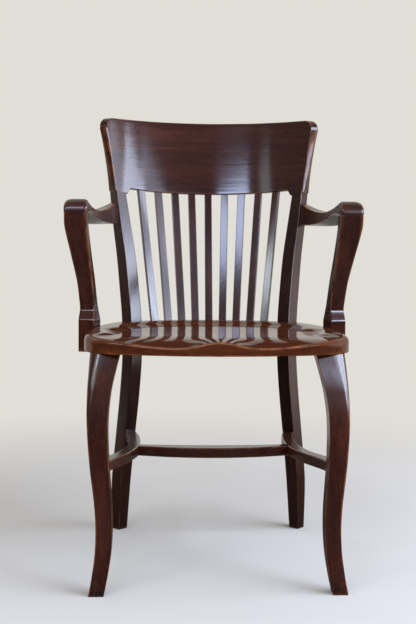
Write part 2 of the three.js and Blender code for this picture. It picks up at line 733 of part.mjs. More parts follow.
// A screw under a plug: both, and the stepped hole for them, from the surface inward.
const screwStart = plugLength + 2 * clearance;
function screwSet(surface, direction, length = screwLength) {
  const head = screwStart + screwHeadDepth;
  const tip = screwStart + length;
  const screw = turned(surface, direction, [
    [screwStart, screwHead / 2], [head, screwShank / 2],
    [tip - screwShank, screwShank / 2], [tip, screwTip / 2],
  ]);
  const slotMiddle = surface.clone().addScaledVector(direction, screwStart + slotDepth / 2);
  const side = new THREE.Vector3(-direction.y, direction.x, 0).normalize();
  const slotEnds = [-1, 1].map((s) => slotMiddle.clone().addScaledVector(side, s * screwHead));
  const slot = loft(barRings(slotEnds[0], slotEnds[1], 2 * slotDepth, slotWidth, slotWidth / 8));
  return {
    screw: screw.subtract(slot),
    plug: turned(surface, direction, [[clearance, plugRadius], [plugLength, plugRadius]]),
    hole: turned(surface, direction, [
      [-overrun, plugRadius + clearance], [screwStart - clearance / 2, plugRadius + clearance],
      [screwStart, screwHead / 2 + clearance], [head + clearance, screwShank / 2 + clearance],
      [tip + clearance, screwShank / 2 + clearance],
    ]),
  };
}

// The screws: post to seat, post to arm, and two through each arm support into the seat's side.
const seatMid = (seatHeight + seatUnderside) / 2;
const seatFrame = postFrame(seatMid);
const postSet = screwSet(
  seatFrame.at.clone().addScaledVector(seatFrame.out, seatFrame.square / 2), seatFrame.out.clone().negate(),
);
const armSet = screwSet(
  armRootFrame.at.clone().addScaledVector(armRootFrame.front, -armRootFrame.square / 2)
    .addScaledVector(armRootFrame.out, -armScrewInset),
  armRootFrame.front, armScrewLength,
);
const blockTurn = supportTurn * degrees;
const supportOutward = new THREE.Vector3(Math.cos(blockTurn), Math.sin(blockTurn), 0);
const supportAlong = new THREE.Vector3(-supportOutward.y, supportOutward.x, 0);
const supportSets = [-1, 1].map((end) => screwSet(
  new THREE.Vector3(supportOut, supportPlace, seatMid).addScaledVector(supportOutward, supportWidth)
    .addScaledVector(supportAlong, supportDepth / 2 + end * supportScrewPitch / 2),
  supportOutward.clone().negate(),
));

// The dowel between an arm support and its arm.
const headRing = supportRings().pop();
const dowelFrom = headRing.reduce((sum, p) => sum.add(p), new THREE.Vector3())
  .divideScalar(headRing.length).setZ(supportTop - dowelLength / 2);
const armDowel = turned(dowelFrom, upward, [[0, dowelRadius], [dowelLength, dowelRadius]]);
const dowelHole = turned(dowelFrom, upward, [
  [-clearance, dowelRadius + clearance], [dowelLength + clearance, dowelRadius + clearance],
]);

// The tenons.
const legTenonFrom = legCentre(1).add(new THREE.Vector3(0, 0, -overrun));
const legTenon = (grow) => turned(legTenonFrom, upward, [
  [0, legTenonRadius + grow], [overrun + legTenonLength + grow, legTenonRadius + grow],
]);
const postTenonRings = [postTop - 2 * overrun, crestBottom + postTenon].map((z) => {
  const f = postFrame(z);
  return squareRing(f.at, f.front, f.out, postTenonSquare, postTenonSquare);
});
const bowFrontTenon = tenonRings(bowPath[0], bowFrontHeading.clone().negate(), bowWidth, bowThickness);
const bowRearTenon = tenonRings(bowPath[bowStations], bowRearHeading, bowWidth, bowThickness);
const crossTenon = tenonRings(
  new THREE.Vector3(crossHalf, crossEnd.y, crossMiddle), acrossX, crossWidth, crossThickness,
);

// The pieces that stand in one another, before their joints are cut.
const legBody = loft(legRings);
const postBody = loft(postRings);
const slats = Array.from({ length: slatCount }, (_, i) => slatRings(i));
const bowGrown = grownLoft(bowRings());
const supportGrown = grownLoft(supportRings());
const postGrown = grownLoft(postRings);
const armGrown = grownLoft(armRings());

const seat = cutBothSides(seatSolid(), [
  legTenon(clearance), postGrown, supportGrown, postSet.hole, ...supportSets.map((set) => set.hole),
]);
addPart('seat', slats.reduce((rest, rings) => rest.subtract(grownLoft(rings)), seat), mahogany);

const crestRail = cutBothSides(crestSolid(0), [grownLoft(postTenonRings)]);
addPart('crest_rail', slats.reduce((rest, rings) => rest.subtract(grownLoft(rings)), crestRail), mahogany);
slats.forEach((rings, i) => addPart(`back_slat_${i + 1}`, loft(rings), mahogany));

addPair('front_leg', legBody.add(legTenon(0)).subtract(grownLoft(bowFrontTenon)), mahogany);
addPair('back_post', postBody.subtract(crestSolid(clearance)).add(loft(postTenonRings))
  .subtract(grownLoft(bowRearTenon)).subtract(postSet.hole).subtract(armSet.hole), mahogany);
addPair('side_stretcher', loft(bowRings()).subtract(grownLoft(legRings)).subtract(postGrown)
  .add(loft(bowFrontTenon)).add(loft(bowRearTenon)).subtract(grownLoft(crossTenon)), mahogany);
const crossBody = cutBothSides(loft(crossRings()), [bowGrown]);
const crossTenonSolid = loft(crossTenon);
addPart('cross_stretcher', crossBody.add(crossTenonSolid).add(mirrorImage(crossTenonSolid)), mahogany);
addPair('arm', loft(armRings()).subtract(postGrown).subtract(dowelHole).subtract(armSet.hole), mahogany);
addPair('arm_support', supportSets.reduce(
  (rest, set) => rest.subtract(set.hole), loft(supportRings()).subtract(armGrown).subtract(dowelHole),
), mahogany);
addPair('arm_dowel', armDowel, beech);
[['post', postSet], ['arm', armSet], ['support_front', supportSets[0]], ['support_rear', supportSets[1]]]
  .forEach(([name, set]) => {
    addPair(`${name}_screw`, set.screw, steel);
    addPair(`${name}_plug`, set.plug, plugWood);
  });

// Centres the chair over the origin, with its feet on Z = 0.
const box = new THREE.Box3().setFromObject(chair);
chair.position.y = -(box.min.y + box.max.y) / 2;

export default chair;
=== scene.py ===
# %% [markdown]
# A captain's chair in polished mahogany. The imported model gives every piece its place, and this file gives
# each piece its fine surface and its finish. A high polish shows every facet as a broken reflection, so the
# main pieces are built again here with many more stations along the same curves. Each one then stands for
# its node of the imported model, in the same place and at the same size.

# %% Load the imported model
import math

import bmesh
import bpy
import numpy as np
from mathutils import Matrix, Vector


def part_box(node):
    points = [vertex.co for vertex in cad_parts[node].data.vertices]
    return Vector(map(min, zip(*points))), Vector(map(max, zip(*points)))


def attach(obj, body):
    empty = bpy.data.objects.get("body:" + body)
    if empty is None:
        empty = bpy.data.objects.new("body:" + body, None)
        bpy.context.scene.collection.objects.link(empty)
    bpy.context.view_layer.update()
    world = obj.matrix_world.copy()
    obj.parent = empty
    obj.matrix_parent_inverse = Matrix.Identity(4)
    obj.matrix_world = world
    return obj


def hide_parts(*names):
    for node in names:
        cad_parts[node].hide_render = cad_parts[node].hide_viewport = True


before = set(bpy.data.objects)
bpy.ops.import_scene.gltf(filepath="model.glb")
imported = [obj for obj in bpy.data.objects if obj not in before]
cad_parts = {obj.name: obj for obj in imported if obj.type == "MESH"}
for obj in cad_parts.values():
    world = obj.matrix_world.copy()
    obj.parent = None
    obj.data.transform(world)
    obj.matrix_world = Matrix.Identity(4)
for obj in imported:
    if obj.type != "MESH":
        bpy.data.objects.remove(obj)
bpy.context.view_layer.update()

mm = 0.001
front_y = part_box("seat")[0].y
print("nodes:", len(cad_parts), "seat front edge at Y", round(front_y, 5))

# %% [markdown]
# Four small helpers carry the whole chair. A chair maker draws a leg or an arm as a line with a few known
# stops, so a table of shares with a smooth curve through it says the same thing here. A share is a part of
# a named size, and the size itself is written once.

# %% Smooth tables
def mix(a, b, t):
    return a + (b - a) * t


def eased(t):
    u = np.clip(t, 0, 1)
    return u * u * (3 - 2 * u)


def through(stops, values, place):
    """A smooth value through a table whose stops rise."""
    stops, values = np.asarray(stops, float), np.asarray(values, float)
    last = len(stops) - 1
    t = np.clip(place, stops[0], stops[last])
    i = np.clip(np.searchsorted(stops, t, side="left") - 1, 0, last - 1)
    below, above = np.maximum(np.arange(last + 1) - 1, 0), np.minimum(np.arange(last + 1) + 1, last)
    slope = (values[above] - values[below]) / (stops[above] - stops[below])
    span = stops[i + 1] - stops[i]
    u = (t - stops[i]) / span
    start = (1 + 2 * u) * (1 - u) ** 2 * values[i] + u * (1 - u) ** 2 * span * slope[i]
    end = u * u * (3 - 2 * u) * values[i + 1] + u * u * (u - 1) * span * slope[i + 1]
    return start + end


def unit(v):
    return v / np.linalg.norm(v, axis=-1, keepdims=True)


print("half way through a ramp of 0, 1, 4:", through([0, 0.5, 1], [0, 1, 4], 0.5))

# %% [markdown]
# Most pieces are bars of four sides that bend, taper and turn. Each station gives four corners, and every
# corner becomes a small curve between two guard points. The guard points keep the flat faces flat in the
# reflections, because the smooth shading then stays inside the rounded arris.

# %% Sections and rings
arris = 1.2 * mm
guard, guard_share = 2.4 * mm, 0.03


def section(at, u, v, width, depth):
    """The four corners of a rectangle at every station."""
    width, depth = (np.broadcast_to(size, len(at))[:, None] / 2 for size in (width, depth))
    return np.stack([at + a * u * width + b * v * depth
                     for a, b in ((1, 1), (-1, 1), (-1, -1), (1, -1))], axis=1)


def softened(corners, radii, steps=3, most=0.46):
    """Rings from corners, each rounded by its radius, or by a radius for each of its two sides."""
    t = np.linspace(0, 1, steps + 1)[None, :, None]
    rings = []
    for i in range(4):
        corner = corners[:, i]
        sides = [corners[:, i - 1] - corner, corners[:, (i + 1) % 4] - corner]
        lengths = [np.linalg.norm(side, axis=1) for side in sides]
        given = radii[i] if isinstance(radii[i], tuple) else (radii[i], radii[i])
        reach = [np.minimum(np.broadcast_to(radius, len(corners)), most * length)
                 for radius, length in zip(given, lengths)]
        before, after = (corner + unit(side) * radius[:, None] for side, radius in zip(sides, reach))
        outer = [corner + unit(side) * np.minimum(radius + guard, (most + guard_share) * length)[:, None]
                 for side, radius, length in zip(sides, reach, lengths)]
        curve = ((1 - t) ** 2 * before[:, None] + 2 * t * (1 - t) * corner[:, None]
                 + t * t * after[:, None])
        rings += [outer[0][:, None], curve, outer[1][:, None]]
    return np.concatenate(rings, axis=1)


# %% [markdown]
# A loft joins the rings into a closed mesh, with a fan over each end. Two numbers go with every corner of
# the mesh. One says how tightly the surface bends there, so that the finish can wear through on the
# arrises. The other is a number of the piece's own, so that no two pieces share the same grain.

# %% Meshes
sharp_turn = math.radians(40)
wear_from, wear_full = math.radians(4) / mm, math.radians(14) / mm
pieces = []


def in_scene(name, data):
    """A new object in the scene."""
    made = bpy.data.objects.new(name, data)
    bpy.context.scene.collection.objects.link(made)
    return made


def store(mesh, name, values, kind="FLOAT", field="value"):
    """Keeps a value with every corner of the mesh."""
    mesh.attributes.new(name, kind, "POINT").data.foreach_set(field, values)


def lofted_mesh(name, rings):
    """A closed mesh through the rings, with a fan over each end."""
    count, around = rings.shape[:2]
    points = np.vstack([rings.reshape(-1, 3), rings[0].mean(0), rings[-1].mean(0)])
    near = np.arange(around)
    after = (near + 1) % around
    faces = []
    for r in range(count - 1):
        a, b = r * around + near, r * around + after
        faces += np.column_stack([a, b, b + around, a + around]).tolist()
    faces += [[count * around, b, a] for a, b in zip(near.tolist(), after.tolist())]
    top = (count - 1) * around
    faces += [[count * around + 1, top + a, top + b] for a, b in zip(near.tolist(), after.tolist())]
    mesh = bpy.data.meshes.new(name)
    mesh.from_pydata(points.tolist(), [], faces)
    return mesh


def mark_bends(mesh):
    """Turns the faces outwards and stores how worn each corner of the mesh may be."""
    shape = bmesh.new()
    shape.from_mesh(mesh)
    bmesh.ops.recalc_face_normals(shape, faces=shape.faces)
    bends = np.zeros(len(shape.verts))
    for edge in shape.edges:
        width = sum(face.calc_area() for face in edge.link_faces) / 2 / edge.calc_length()
        for corner in edge.verts:
            bends[corner.index] = max(bends[corner.index], edge.calc_face_angle(0.0) / width)
    shape.to_mesh(mesh)
    shape.free()
    store(mesh, "wear", np.clip((bends - wear_from) / (wear_full - wear_from), 0, 1))


def finish_piece(name, mesh, nodes, number):
    """Makes the object, stores its number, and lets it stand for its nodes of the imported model."""
    if "wear" not in mesh.attributes:
        mark_bends(mesh)
    store(mesh, "piece", np.full(len(mesh.vertices), number, float))
    mesh.shade_smooth()
    mesh.set_sharp_from_angle(angle=sharp_turn)
    piece = in_scene(name, mesh)
    even = piece.modifiers.new("Even normals", "WEIGHTED_NORMAL")
    even.keep_sharp = True
    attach(piece, "root")
    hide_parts(*nodes)
    pieces.append(piece)
    return piece


def to_frame(rings):
    """From places with the seat's front edge at Y = 0 to the shared frame."""
    return np.asarray(rings) + np.array([0, front_y, 0])


def single(name, rings, node, number):
    """A piece that stands in the chair's middle."""
    return finish_piece(name, lofted_mesh(name, to_frame(rings)), [node], number)


def pair(name, rings, node, number):
    """A piece on the right and its mirror image on the left."""
    placed = to_frame(rings)
    mirrored = placed * np.array([-1, 1, 1])
    return [finish_piece(f"{name}_{side}", lofted_mesh(f"{name}_{side}", points),
                         [f"{node}_{side}"], number + shift)
            for side, points, shift in (("right", placed, 0), ("left", mirrored, 0.5))]


# %% [markdown]
# The camera comes early, because it decides how much detail each piece needs. It stands where the
# photograph was taken: 1.7 m in front of the front feet, at 0.61 m, looking slightly down and to the right.

# %% Camera
camera_place = Vector((-0.0973, -2.0438, 0.6094))
camera_yaw, camera_pitch, camera_roll = 0.04311, 0.06380, 0.00802
camera_lens, sensor_height = 57.69, 36.0

ahead = Vector((math.sin(camera_yaw) * math.cos(camera_pitch),
                math.cos(camera_yaw) * math.cos(camera_pitch), -math.sin(camera_pitch)))
level = Vector((math.cos(camera_yaw), -math.sin(camera_yaw), 0))
upright = level.cross(ahead)
across = level * math.cos(camera_roll) + upright * math.sin(camera_roll)
upward = upright * math.cos(camera_roll) - level * math.sin(camera_roll)
camera = in_scene("camera", bpy.data.cameras.new("camera"))
camera.data.sensor_fit = "VERTICAL"
camera.data.sensor_height = sensor_height
camera.data.lens = camera_lens
turned = Matrix((across, upward, -ahead)).transposed().to_4x4()
camera.matrix_world = Matrix.Translation(camera_place) @ turned
bpy.context.scene.camera = camera
print("camera to the chair's middle:", round((camera_place - Vector((0, 0, 0.45))).length, 3), "m")

# %% [markdown]
# The seat is one thick board. Its saddle is a shallow basin with a crisp rim, and towards the front it
# rolls down into two hollows on either side of a low ridge. A sculptor's mesh could follow it, but the dish
# has a rule: its depth falls off from a rim that is measured from the middle. So rings of the outline,
# drawn in towards the middle, take their height from that rule.

# %% The seat's outline
seat_height, seat_thickness = 450 * mm, 31.6 * mm
seat_half_width, seat_depth = 249.5 * mm, 481 * mm
seat_under_round = 3 * mm
seat_edge_angles, seat_edge_rounds = [0, 0.2, 0.3, 0.6, 0.75, 1], np.array([4, 5, 12, 12, 6, 5]) * mm
seat_rear_rim = 24 * mm
back_radius, back_lean = 320 * mm, 0.335
seat_across_shares = [0, 0.28, 0.538, 0.703, 0.826, 0.921, 0.971, 0.992, 1,
                      0.995, 0.982, 0.942, 0.87, 0.769]
seat_back_shares = [0, 0.01, 0.035, 0.058, 0.085, 0.123, 0.168, 0.247, 0.33,
                    0.424, 0.538, 0.653, 0.767, 0.875]


def spline(points, steps=24):
    """A curve through points, which leans less where they lie close together."""
    ends = [2 * points[0] - points[1]], [2 * points[-1] - points[-2]]
    path = np.vstack([ends[0], points, ends[1]])
    t = np.linspace(0, 1, steps, endpoint=False)[:, None]
    spans = []
    for a, b, c, d in zip(path, path[1:], path[2:], path[3:]):
        ab, bc, cd = (math.sqrt(np.linalg.norm(q - p)) for p, q in ((a, b), (b, c), (c, d)))
        leaving = ((b - a) / ab - (c - a) / (ab + bc) + (c - b) / bc) * bc
        arriving = ((c - b) / bc - (d - b) / (bc + cd) + (d - c) / cd) * bc
        spans.append(b + t * leaving + t * t * (3 * (c - b) - 2 * leaving - arriving)
                     + t ** 3 * (leaving + arriving - 2 * (c - b)))
    return np.vstack(spans + [points[-1:]])


def evenly(path, count):
    """That many points at even distances along a path."""
    along = np.concatenate([[0], np.cumsum(np.linalg.norm(np.diff(path, axis=0), axis=1))])
    places = np.linspace(0, along[-1], count)
    return np.column_stack([np.interp(places, along, path[:, k]) for k in range(path.shape[1])])


seat_side = spline(np.column_stack([np.array(seat_across_shares) * seat_half_width,
                                    np.array(seat_back_shares) * seat_depth]))
rear_radius = back_radius + seat_rear_rim
rear_centre = seat_depth - rear_radius
side_count, rear_count = 90, 40
seat_half = evenly(seat_side, side_count)
side_end = seat_half[-1]
rear_shares = np.arange(1, rear_count + 1) / rear_count
rear_angles = mix(math.atan2(side_end[1] - rear_centre, side_end[0]), math.pi / 2, rear_shares)
rear_reach = mix(math.hypot(side_end[0], side_end[1] - rear_centre), rear_radius, eased(2 * rear_shares))
seat_half = np.vstack([seat_half, np.column_stack([rear_reach * np.cos(rear_angles),
                                                   rear_centre + rear_reach * np.sin(rear_angles)])])
seat_outline = np.vstack([seat_half, seat_half[-2:0:-1] * np.array([-1, 1])])
print("seat outline:", len(seat_outline), "points,", round(2 * seat_half[:, 0].max() / mm, 1), "mm wide")

# %% The seat's dish
basin_depth, basin_front_depth, basin_reach = 7 * mm, 3 * mm, 240 * mm
hollow_depth, hollow_reach, dish_fall = 20 * mm, 95 * mm, 34 * mm
hollow_along_shares, hollow_roll_shares = [0, 0.42, 0.63, 1], [1, 0.372, 0.137, 0]
dish_angle_shares = [0, 0.2, 0.25, 0.287, 0.32, 0.353, 0.456, 0.495,
                     0.53, 0.607, 0.688, 0.744, 0.824, 0.912, 1]
dish_rim_shares = [1.3, 1.3, 1.2, 1.08, 0.95, 0.87, 0.9, 0.862,
                   0.82, 0.845, 0.86, 0.84, 0.905, 0.89, 0.89]
hollow_across_shares = [0, 0.08, 0.18, 0.3, 0.45, 0.6, 0.73, 0.83, 0.92, 1]
hollow_depth_shares = [0.25, 0.4, 0.74, 0.95, 1, 0.9, 0.7, 0.5, 0.3, 0.2]
seat_middle = np.array([0, seat_depth / 2])
under_steps, edge_steps = 5, 7
slope_shares, floor_shares = np.linspace(0.95, 0.6, 42), np.linspace(0.58, 0.02, 22)


def dish(points, outline_reach):
    """How deep the dish lies below the rim at each point."""
    reach = np.linalg.norm(points - seat_middle, axis=1)
    angle_share = np.arctan2(np.abs(points[:, 0]), seat_middle[1] - points[:, 1]) / math.pi
    rim = through(dish_angle_shares, dish_rim_shares, angle_share) * outline_reach
    hollow = hollow_depth * through(hollow_across_shares, hollow_depth_shares,
                                    np.abs(points[:, 0]) / seat_half_width)
    basin = mix(basin_front_depth, basin_depth, eased(points[:, 1] / basin_reach))
    roll = through(hollow_along_shares, hollow_roll_shares, points[:, 1] / hollow_reach)
    return mix(basin, hollow, roll) * eased((rim - reach) / dish_fall)


seat_reach = np.linalg.norm(seat_outline - seat_middle, axis=1)


def drawn_in(by):
    """The outline, moved towards the seat's middle."""
    return seat_middle + (seat_outline - seat_middle) * (1 - by / seat_reach)[:, None]


def at_height(points, z):
    return np.column_stack([points, np.broadcast_to(z, len(points))])


seat_rings = []
seat_bottom = seat_height - seat_thickness
for a in np.linspace(0, math.pi / 2, under_steps):
    seat_rings.append(at_height(drawn_in(seat_under_round * (1 - math.sin(a))),
                                seat_bottom + seat_under_round * (1 - math.cos(a))))
seat_angle_shares = np.arctan2(np.abs(seat_outline[:, 0]), seat_middle[1] - seat_outline[:, 1]) / math.pi
seat_edge_round = through(seat_edge_angles, seat_edge_rounds, seat_angle_shares)
rim_height = seat_height - dish(drawn_in(seat_edge_round), seat_reach)
for a in np.linspace(0, math.pi / 2, edge_steps):
    seat_rings.append(at_height(drawn_in(seat_edge_round * (1 - math.cos(a))),
                                rim_height - seat_edge_round * (1 - math.sin(a))))
for share in np.concatenate([slope_shares, floor_shares]):
    points = drawn_in(seat_reach * (1 - share))
    seat_rings.append(at_height(points, seat_height - dish(points, seat_reach)))
seat = single("polished_seat", np.array(seat_rings), "seat", 1)
print("seat:", len(seat.data.polygons), "faces, lowest top",
      round(seat_rings[-1][:, 2].min() / mm, 1), "mm")

# %% [markdown]
# One leaning cylinder carries the whole back. The crest rail is a deep board bent to it, so its level top
# edge seems to sag when it is seen from in front. The board is built as columns from one end to the other.
# Its front ends are rounded over from the top corners down to half height, and each end drops to an ear
# over its post.

# %% The crest rail
crest_rise, crest_height = 281 * mm, 168 * mm
crest_bottom = seat_height + crest_rise
crest_top = crest_bottom + crest_height
crest_half_width, crest_flare, crest_bow = 207.3 * mm, 0.184, 3 * mm
crest_thickness, crest_top_thickness = 25 * mm, 17.85 * mm
crest_corner, crest_edge = 24 * mm, 3 * mm
crest_sag = 9 * mm
crest_end_round, crest_end_fall = 8 * mm, 110 * mm
ear_width, ear_drop, ear_step = 31.3 * mm, 12.5 * mm, 10 * mm


def back_axis(z):
    """Where the leaning cylinder's middle lies at a height."""
    return seat_depth - seat_rear_rim - back_radius + back_lean * (z - seat_height)


def crest_lower(x):
    """The lower edge's height: it sags in the middle and steps down to an ear at each end."""
    past = np.abs(x) - crest_half_width + ear_width
    level_part = crest_sag * np.minimum(np.abs(x) / (crest_half_width - ear_width), 1) ** 2
    rise = crest_sag / 2 * np.maximum(past, 0) / ear_width
    return crest_bottom + level_part + rise - ear_drop * eased(past / ear_step + 0.5)


def crest_half(z):
    """Half of the flared board's width at a height."""
    up = (z - crest_bottom) / crest_height
    return crest_half_width + crest_flare * (z - crest_bottom) - crest_bow * 4 * up * (1 - up)


corner_share = crest_corner / crest_half(crest_top)
crest_rows, crest_steps = 26, 5
plain_columns, ear_columns, tip_columns, corner_columns = 40, 14, 4, 14
step_reach = 0.6


def crest_column(place, end_turn):
    """One ring across the board, at a share of the half width. The end turn rounds it into the end face."""
    past = max(abs(place) - 1 + corner_share, 0) / corner_share
    corner_fall = 1 - math.sqrt(max(1 - past * past, 0))
    sunk = crest_edge * (1 - math.cos(end_turn))
    edge = np.linspace(0, math.pi / 2, crest_steps + 1)[1:]
    up = np.concatenate([np.linspace(0, 1, crest_rows), np.ones(2 * crest_steps),
                         np.linspace(1, 0, crest_rows), np.zeros(2 * crest_steps)])
    face = np.zeros(crest_rows)
    turn = np.concatenate([face, edge, edge[::-1], face, edge, edge[::-1]])
    on_back = np.concatenate([face, np.zeros(crest_steps), np.ones(crest_steps), face + 1,
                              np.ones(crest_steps), np.zeros(crest_steps)])
    inset = crest_edge * (1 - np.sin(turn))
    edge_sink = crest_edge * (1 - np.cos(turn))
    low = crest_lower(place * crest_half_width) + inset + sunk
    high = crest_top - inset - sunk - (crest_corner - inset - sunk) * corner_fall
    z = mix(low, high, up)
    round_over = crest_edge + (crest_end_round - crest_edge) * eased((z - crest_top) / crest_end_fall + 1)
    end_radius = np.where(on_back > 0, crest_edge, round_over)
    half = np.arcsin(crest_half(z) / back_radius)
    angle = place * (half - end_radius * (1 - math.sin(end_turn)) / back_radius)
    thickness = mix(crest_thickness, crest_top_thickness, (z - crest_bottom) / crest_height)
    face_sink = edge_sink + end_radius * (1 - math.cos(end_turn))
    r = back_radius + np.where(on_back > 0, thickness - face_sink, face_sink)
    return np.column_stack([r * np.sin(angle), back_axis(z) + r * np.cos(angle), z])


step_in = 1 - (ear_width + step_reach * ear_step) / crest_half_width
step_out = 1 - (ear_width - step_reach * ear_step) / crest_half_width
crest_half_stops = np.concatenate([
    np.linspace(0, step_in, plain_columns, endpoint=False),
    np.linspace(step_in, step_out, ear_columns, endpoint=False),
    np.linspace(step_out, 1 - corner_share, tip_columns, endpoint=False),
    1 - corner_share + corner_share * np.sin(np.linspace(0, math.pi / 2, corner_columns)),
])
crest_stops = np.concatenate([-crest_half_stops[:0:-1], crest_half_stops])
end_turns = np.linspace(0, math.pi / 2, crest_steps + 2)[1:]
crest_rings = ([crest_column(-1, turn) for turn in end_turns[::-1]]
               + [crest_column(stop, 0) for stop in crest_stops]
               + [crest_column(1, turn) for turn in end_turns])
crest = single("polished_crest_rail", np.array(crest_rings), "crest_rail", 2)
print("crest rail:", len(crest.data.polygons), "faces")

# %% [markdown]
# Nine slats fan out from the seat to the crest rail. They repeat, so one tree of Geometry Nodes makes them
# all: a straight bar is copied once for every slat, and each copy is then bent on to the cylinder by its
# own number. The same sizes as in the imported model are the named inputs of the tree. The result is
# realized, because the export drops instances, and turned into a plain mesh.

# %% Tree helpers
def new_tree(name, inputs):
    """A geometry tree with named inputs, and its input node's sockets."""
    tree = bpy.data.node_groups.new(name, "GeometryNodeTree")
    tree.interface.new_socket("Geometry", in_out="INPUT", socket_type="NodeSocketGeometry")
    for label, (kind, value) in inputs.items():
        tree.interface.new_socket(label, in_out="INPUT", socket_type=kind).default_value = value
    tree.interface.new_socket("Geometry", in_out="OUTPUT", socket_type="NodeSocketGeometry")
    return tree, tree.nodes.new("NodeGroupInput").outputs


def add_node(tree, kind, links=(), **settings):
    """Adds a node with its settings. Each input takes a node, a node's socket or a plain value."""
    node = tree.nodes.new(kind)
    for key, value in settings.items():
        setattr(node, key, value)
    for label, source in dict(links).items():
        socket = node.inputs[label]
        if isinstance(source, bpy.types.Node):
            source = source.outputs[0]
        if isinstance(source, bpy.types.NodeSocket):
            tree.links.new(source, socket)
        else:
            socket.default_value = (*source, 1) if socket.type == "RGBA" else source
    return node


def sum_of(tree, operation, a, b=0.0):
    return add_node(tree, "ShaderNodeMath", {0: a, 1: b}, operation=operation)


def times(tree, a, b):
    return sum_of(tree, "MULTIPLY", a, b)


def mapped(tree, value, low, high, to_low=0.0, to_high=1.0, **settings):
    """A value's way from low to high, laid on another range."""
    return add_node(tree, "ShaderNodeMapRange", {"Value": value, "From Min": low, "From Max": high,
                                                 "To Min": to_low, "To Max": to_high}, **settings)


def attribute(tree, name, kind="FLOAT"):
    return add_node(tree, "GeometryNodeInputNamedAttribute", {"Name": name}, data_type=kind)


def keep(tree, shape, name, value):
    """Stores a number with every point of the shape."""
    return add_node(tree, "GeometryNodeStoreNamedAttribute",
                    {"Geometry": shape, "Name": name, "Value": value}, data_type="FLOAT", domain="POINT")


def set_out(tree, points, shape, turn=(0, 0, 0)):
    """Copies the shape on to the points, as real geometry."""
    copies = add_node(tree, "GeometryNodeInstanceOnPoints",
                      {"Points": points, "Instance": shape, "Rotation": turn})
    return add_node(tree, "GeometryNodeRealizeInstances", {"Geometry": copies})


def closed_tree(tree, shape):
    """Ends the tree with a place for the material and the output."""
    dressed = add_node(tree, "GeometryNodeSetMaterial", {"Geometry": shape})
    add_node(tree, "NodeGroupOutput", {0: dressed})
    return tree


def empty_holder(name):
    return in_scene(name, bpy.data.meshes.new(name))


def baked(holder, tree, inputs):
    """Sets the tree's inputs by their identifiers, evaluates it, and returns a plain mesh."""
    grow = holder.modifiers.new("Grow", "NODES")
    grow.node_group = tree
    for item in tree.interface.items_tree:
        if item.item_type == "SOCKET" and item.in_out == "INPUT" and item.name in inputs:
            grow[item.identifier] = inputs[item.name][1]
    bpy.context.view_layer.update()
    depsgraph = bpy.context.evaluated_depsgraph_get()
    mesh = bpy.data.meshes.new_from_object(holder.evaluated_get(depsgraph), preserve_all_data_layers=True,
                                           depsgraph=depsgraph)
    holder.modifiers.remove(grow)
    bpy.data.objects.remove(holder)
    return mesh


# %% Slats
slat_count = 9
slat_stations, slat_arris_steps = 25, 3
slat_tenon = 14 * mm
grain_step = 1.37
slat_inputs = {
    "Slats": ("NodeSocketInt", slat_count),
    "Width": ("NodeSocketFloat", 16.4 * mm),
    "Depth": ("NodeSocketFloat", 10 * mm),
    "Arris": ("NodeSocketFloat", arris),
    "Foot": ("NodeSocketFloat", seat_height - slat_tenon),
    "Head": ("NodeSocketFloat", crest_bottom + slat_tenon),
    "Foot pitch": ("NodeSocketFloat", 29.5 * mm),
    "Head pitch": ("NodeSocketFloat", 37.2 * mm),
    "Radius": ("NodeSocketFloat", back_radius),
    "Setback": ("NodeSocketFloat", 2 * mm),
}


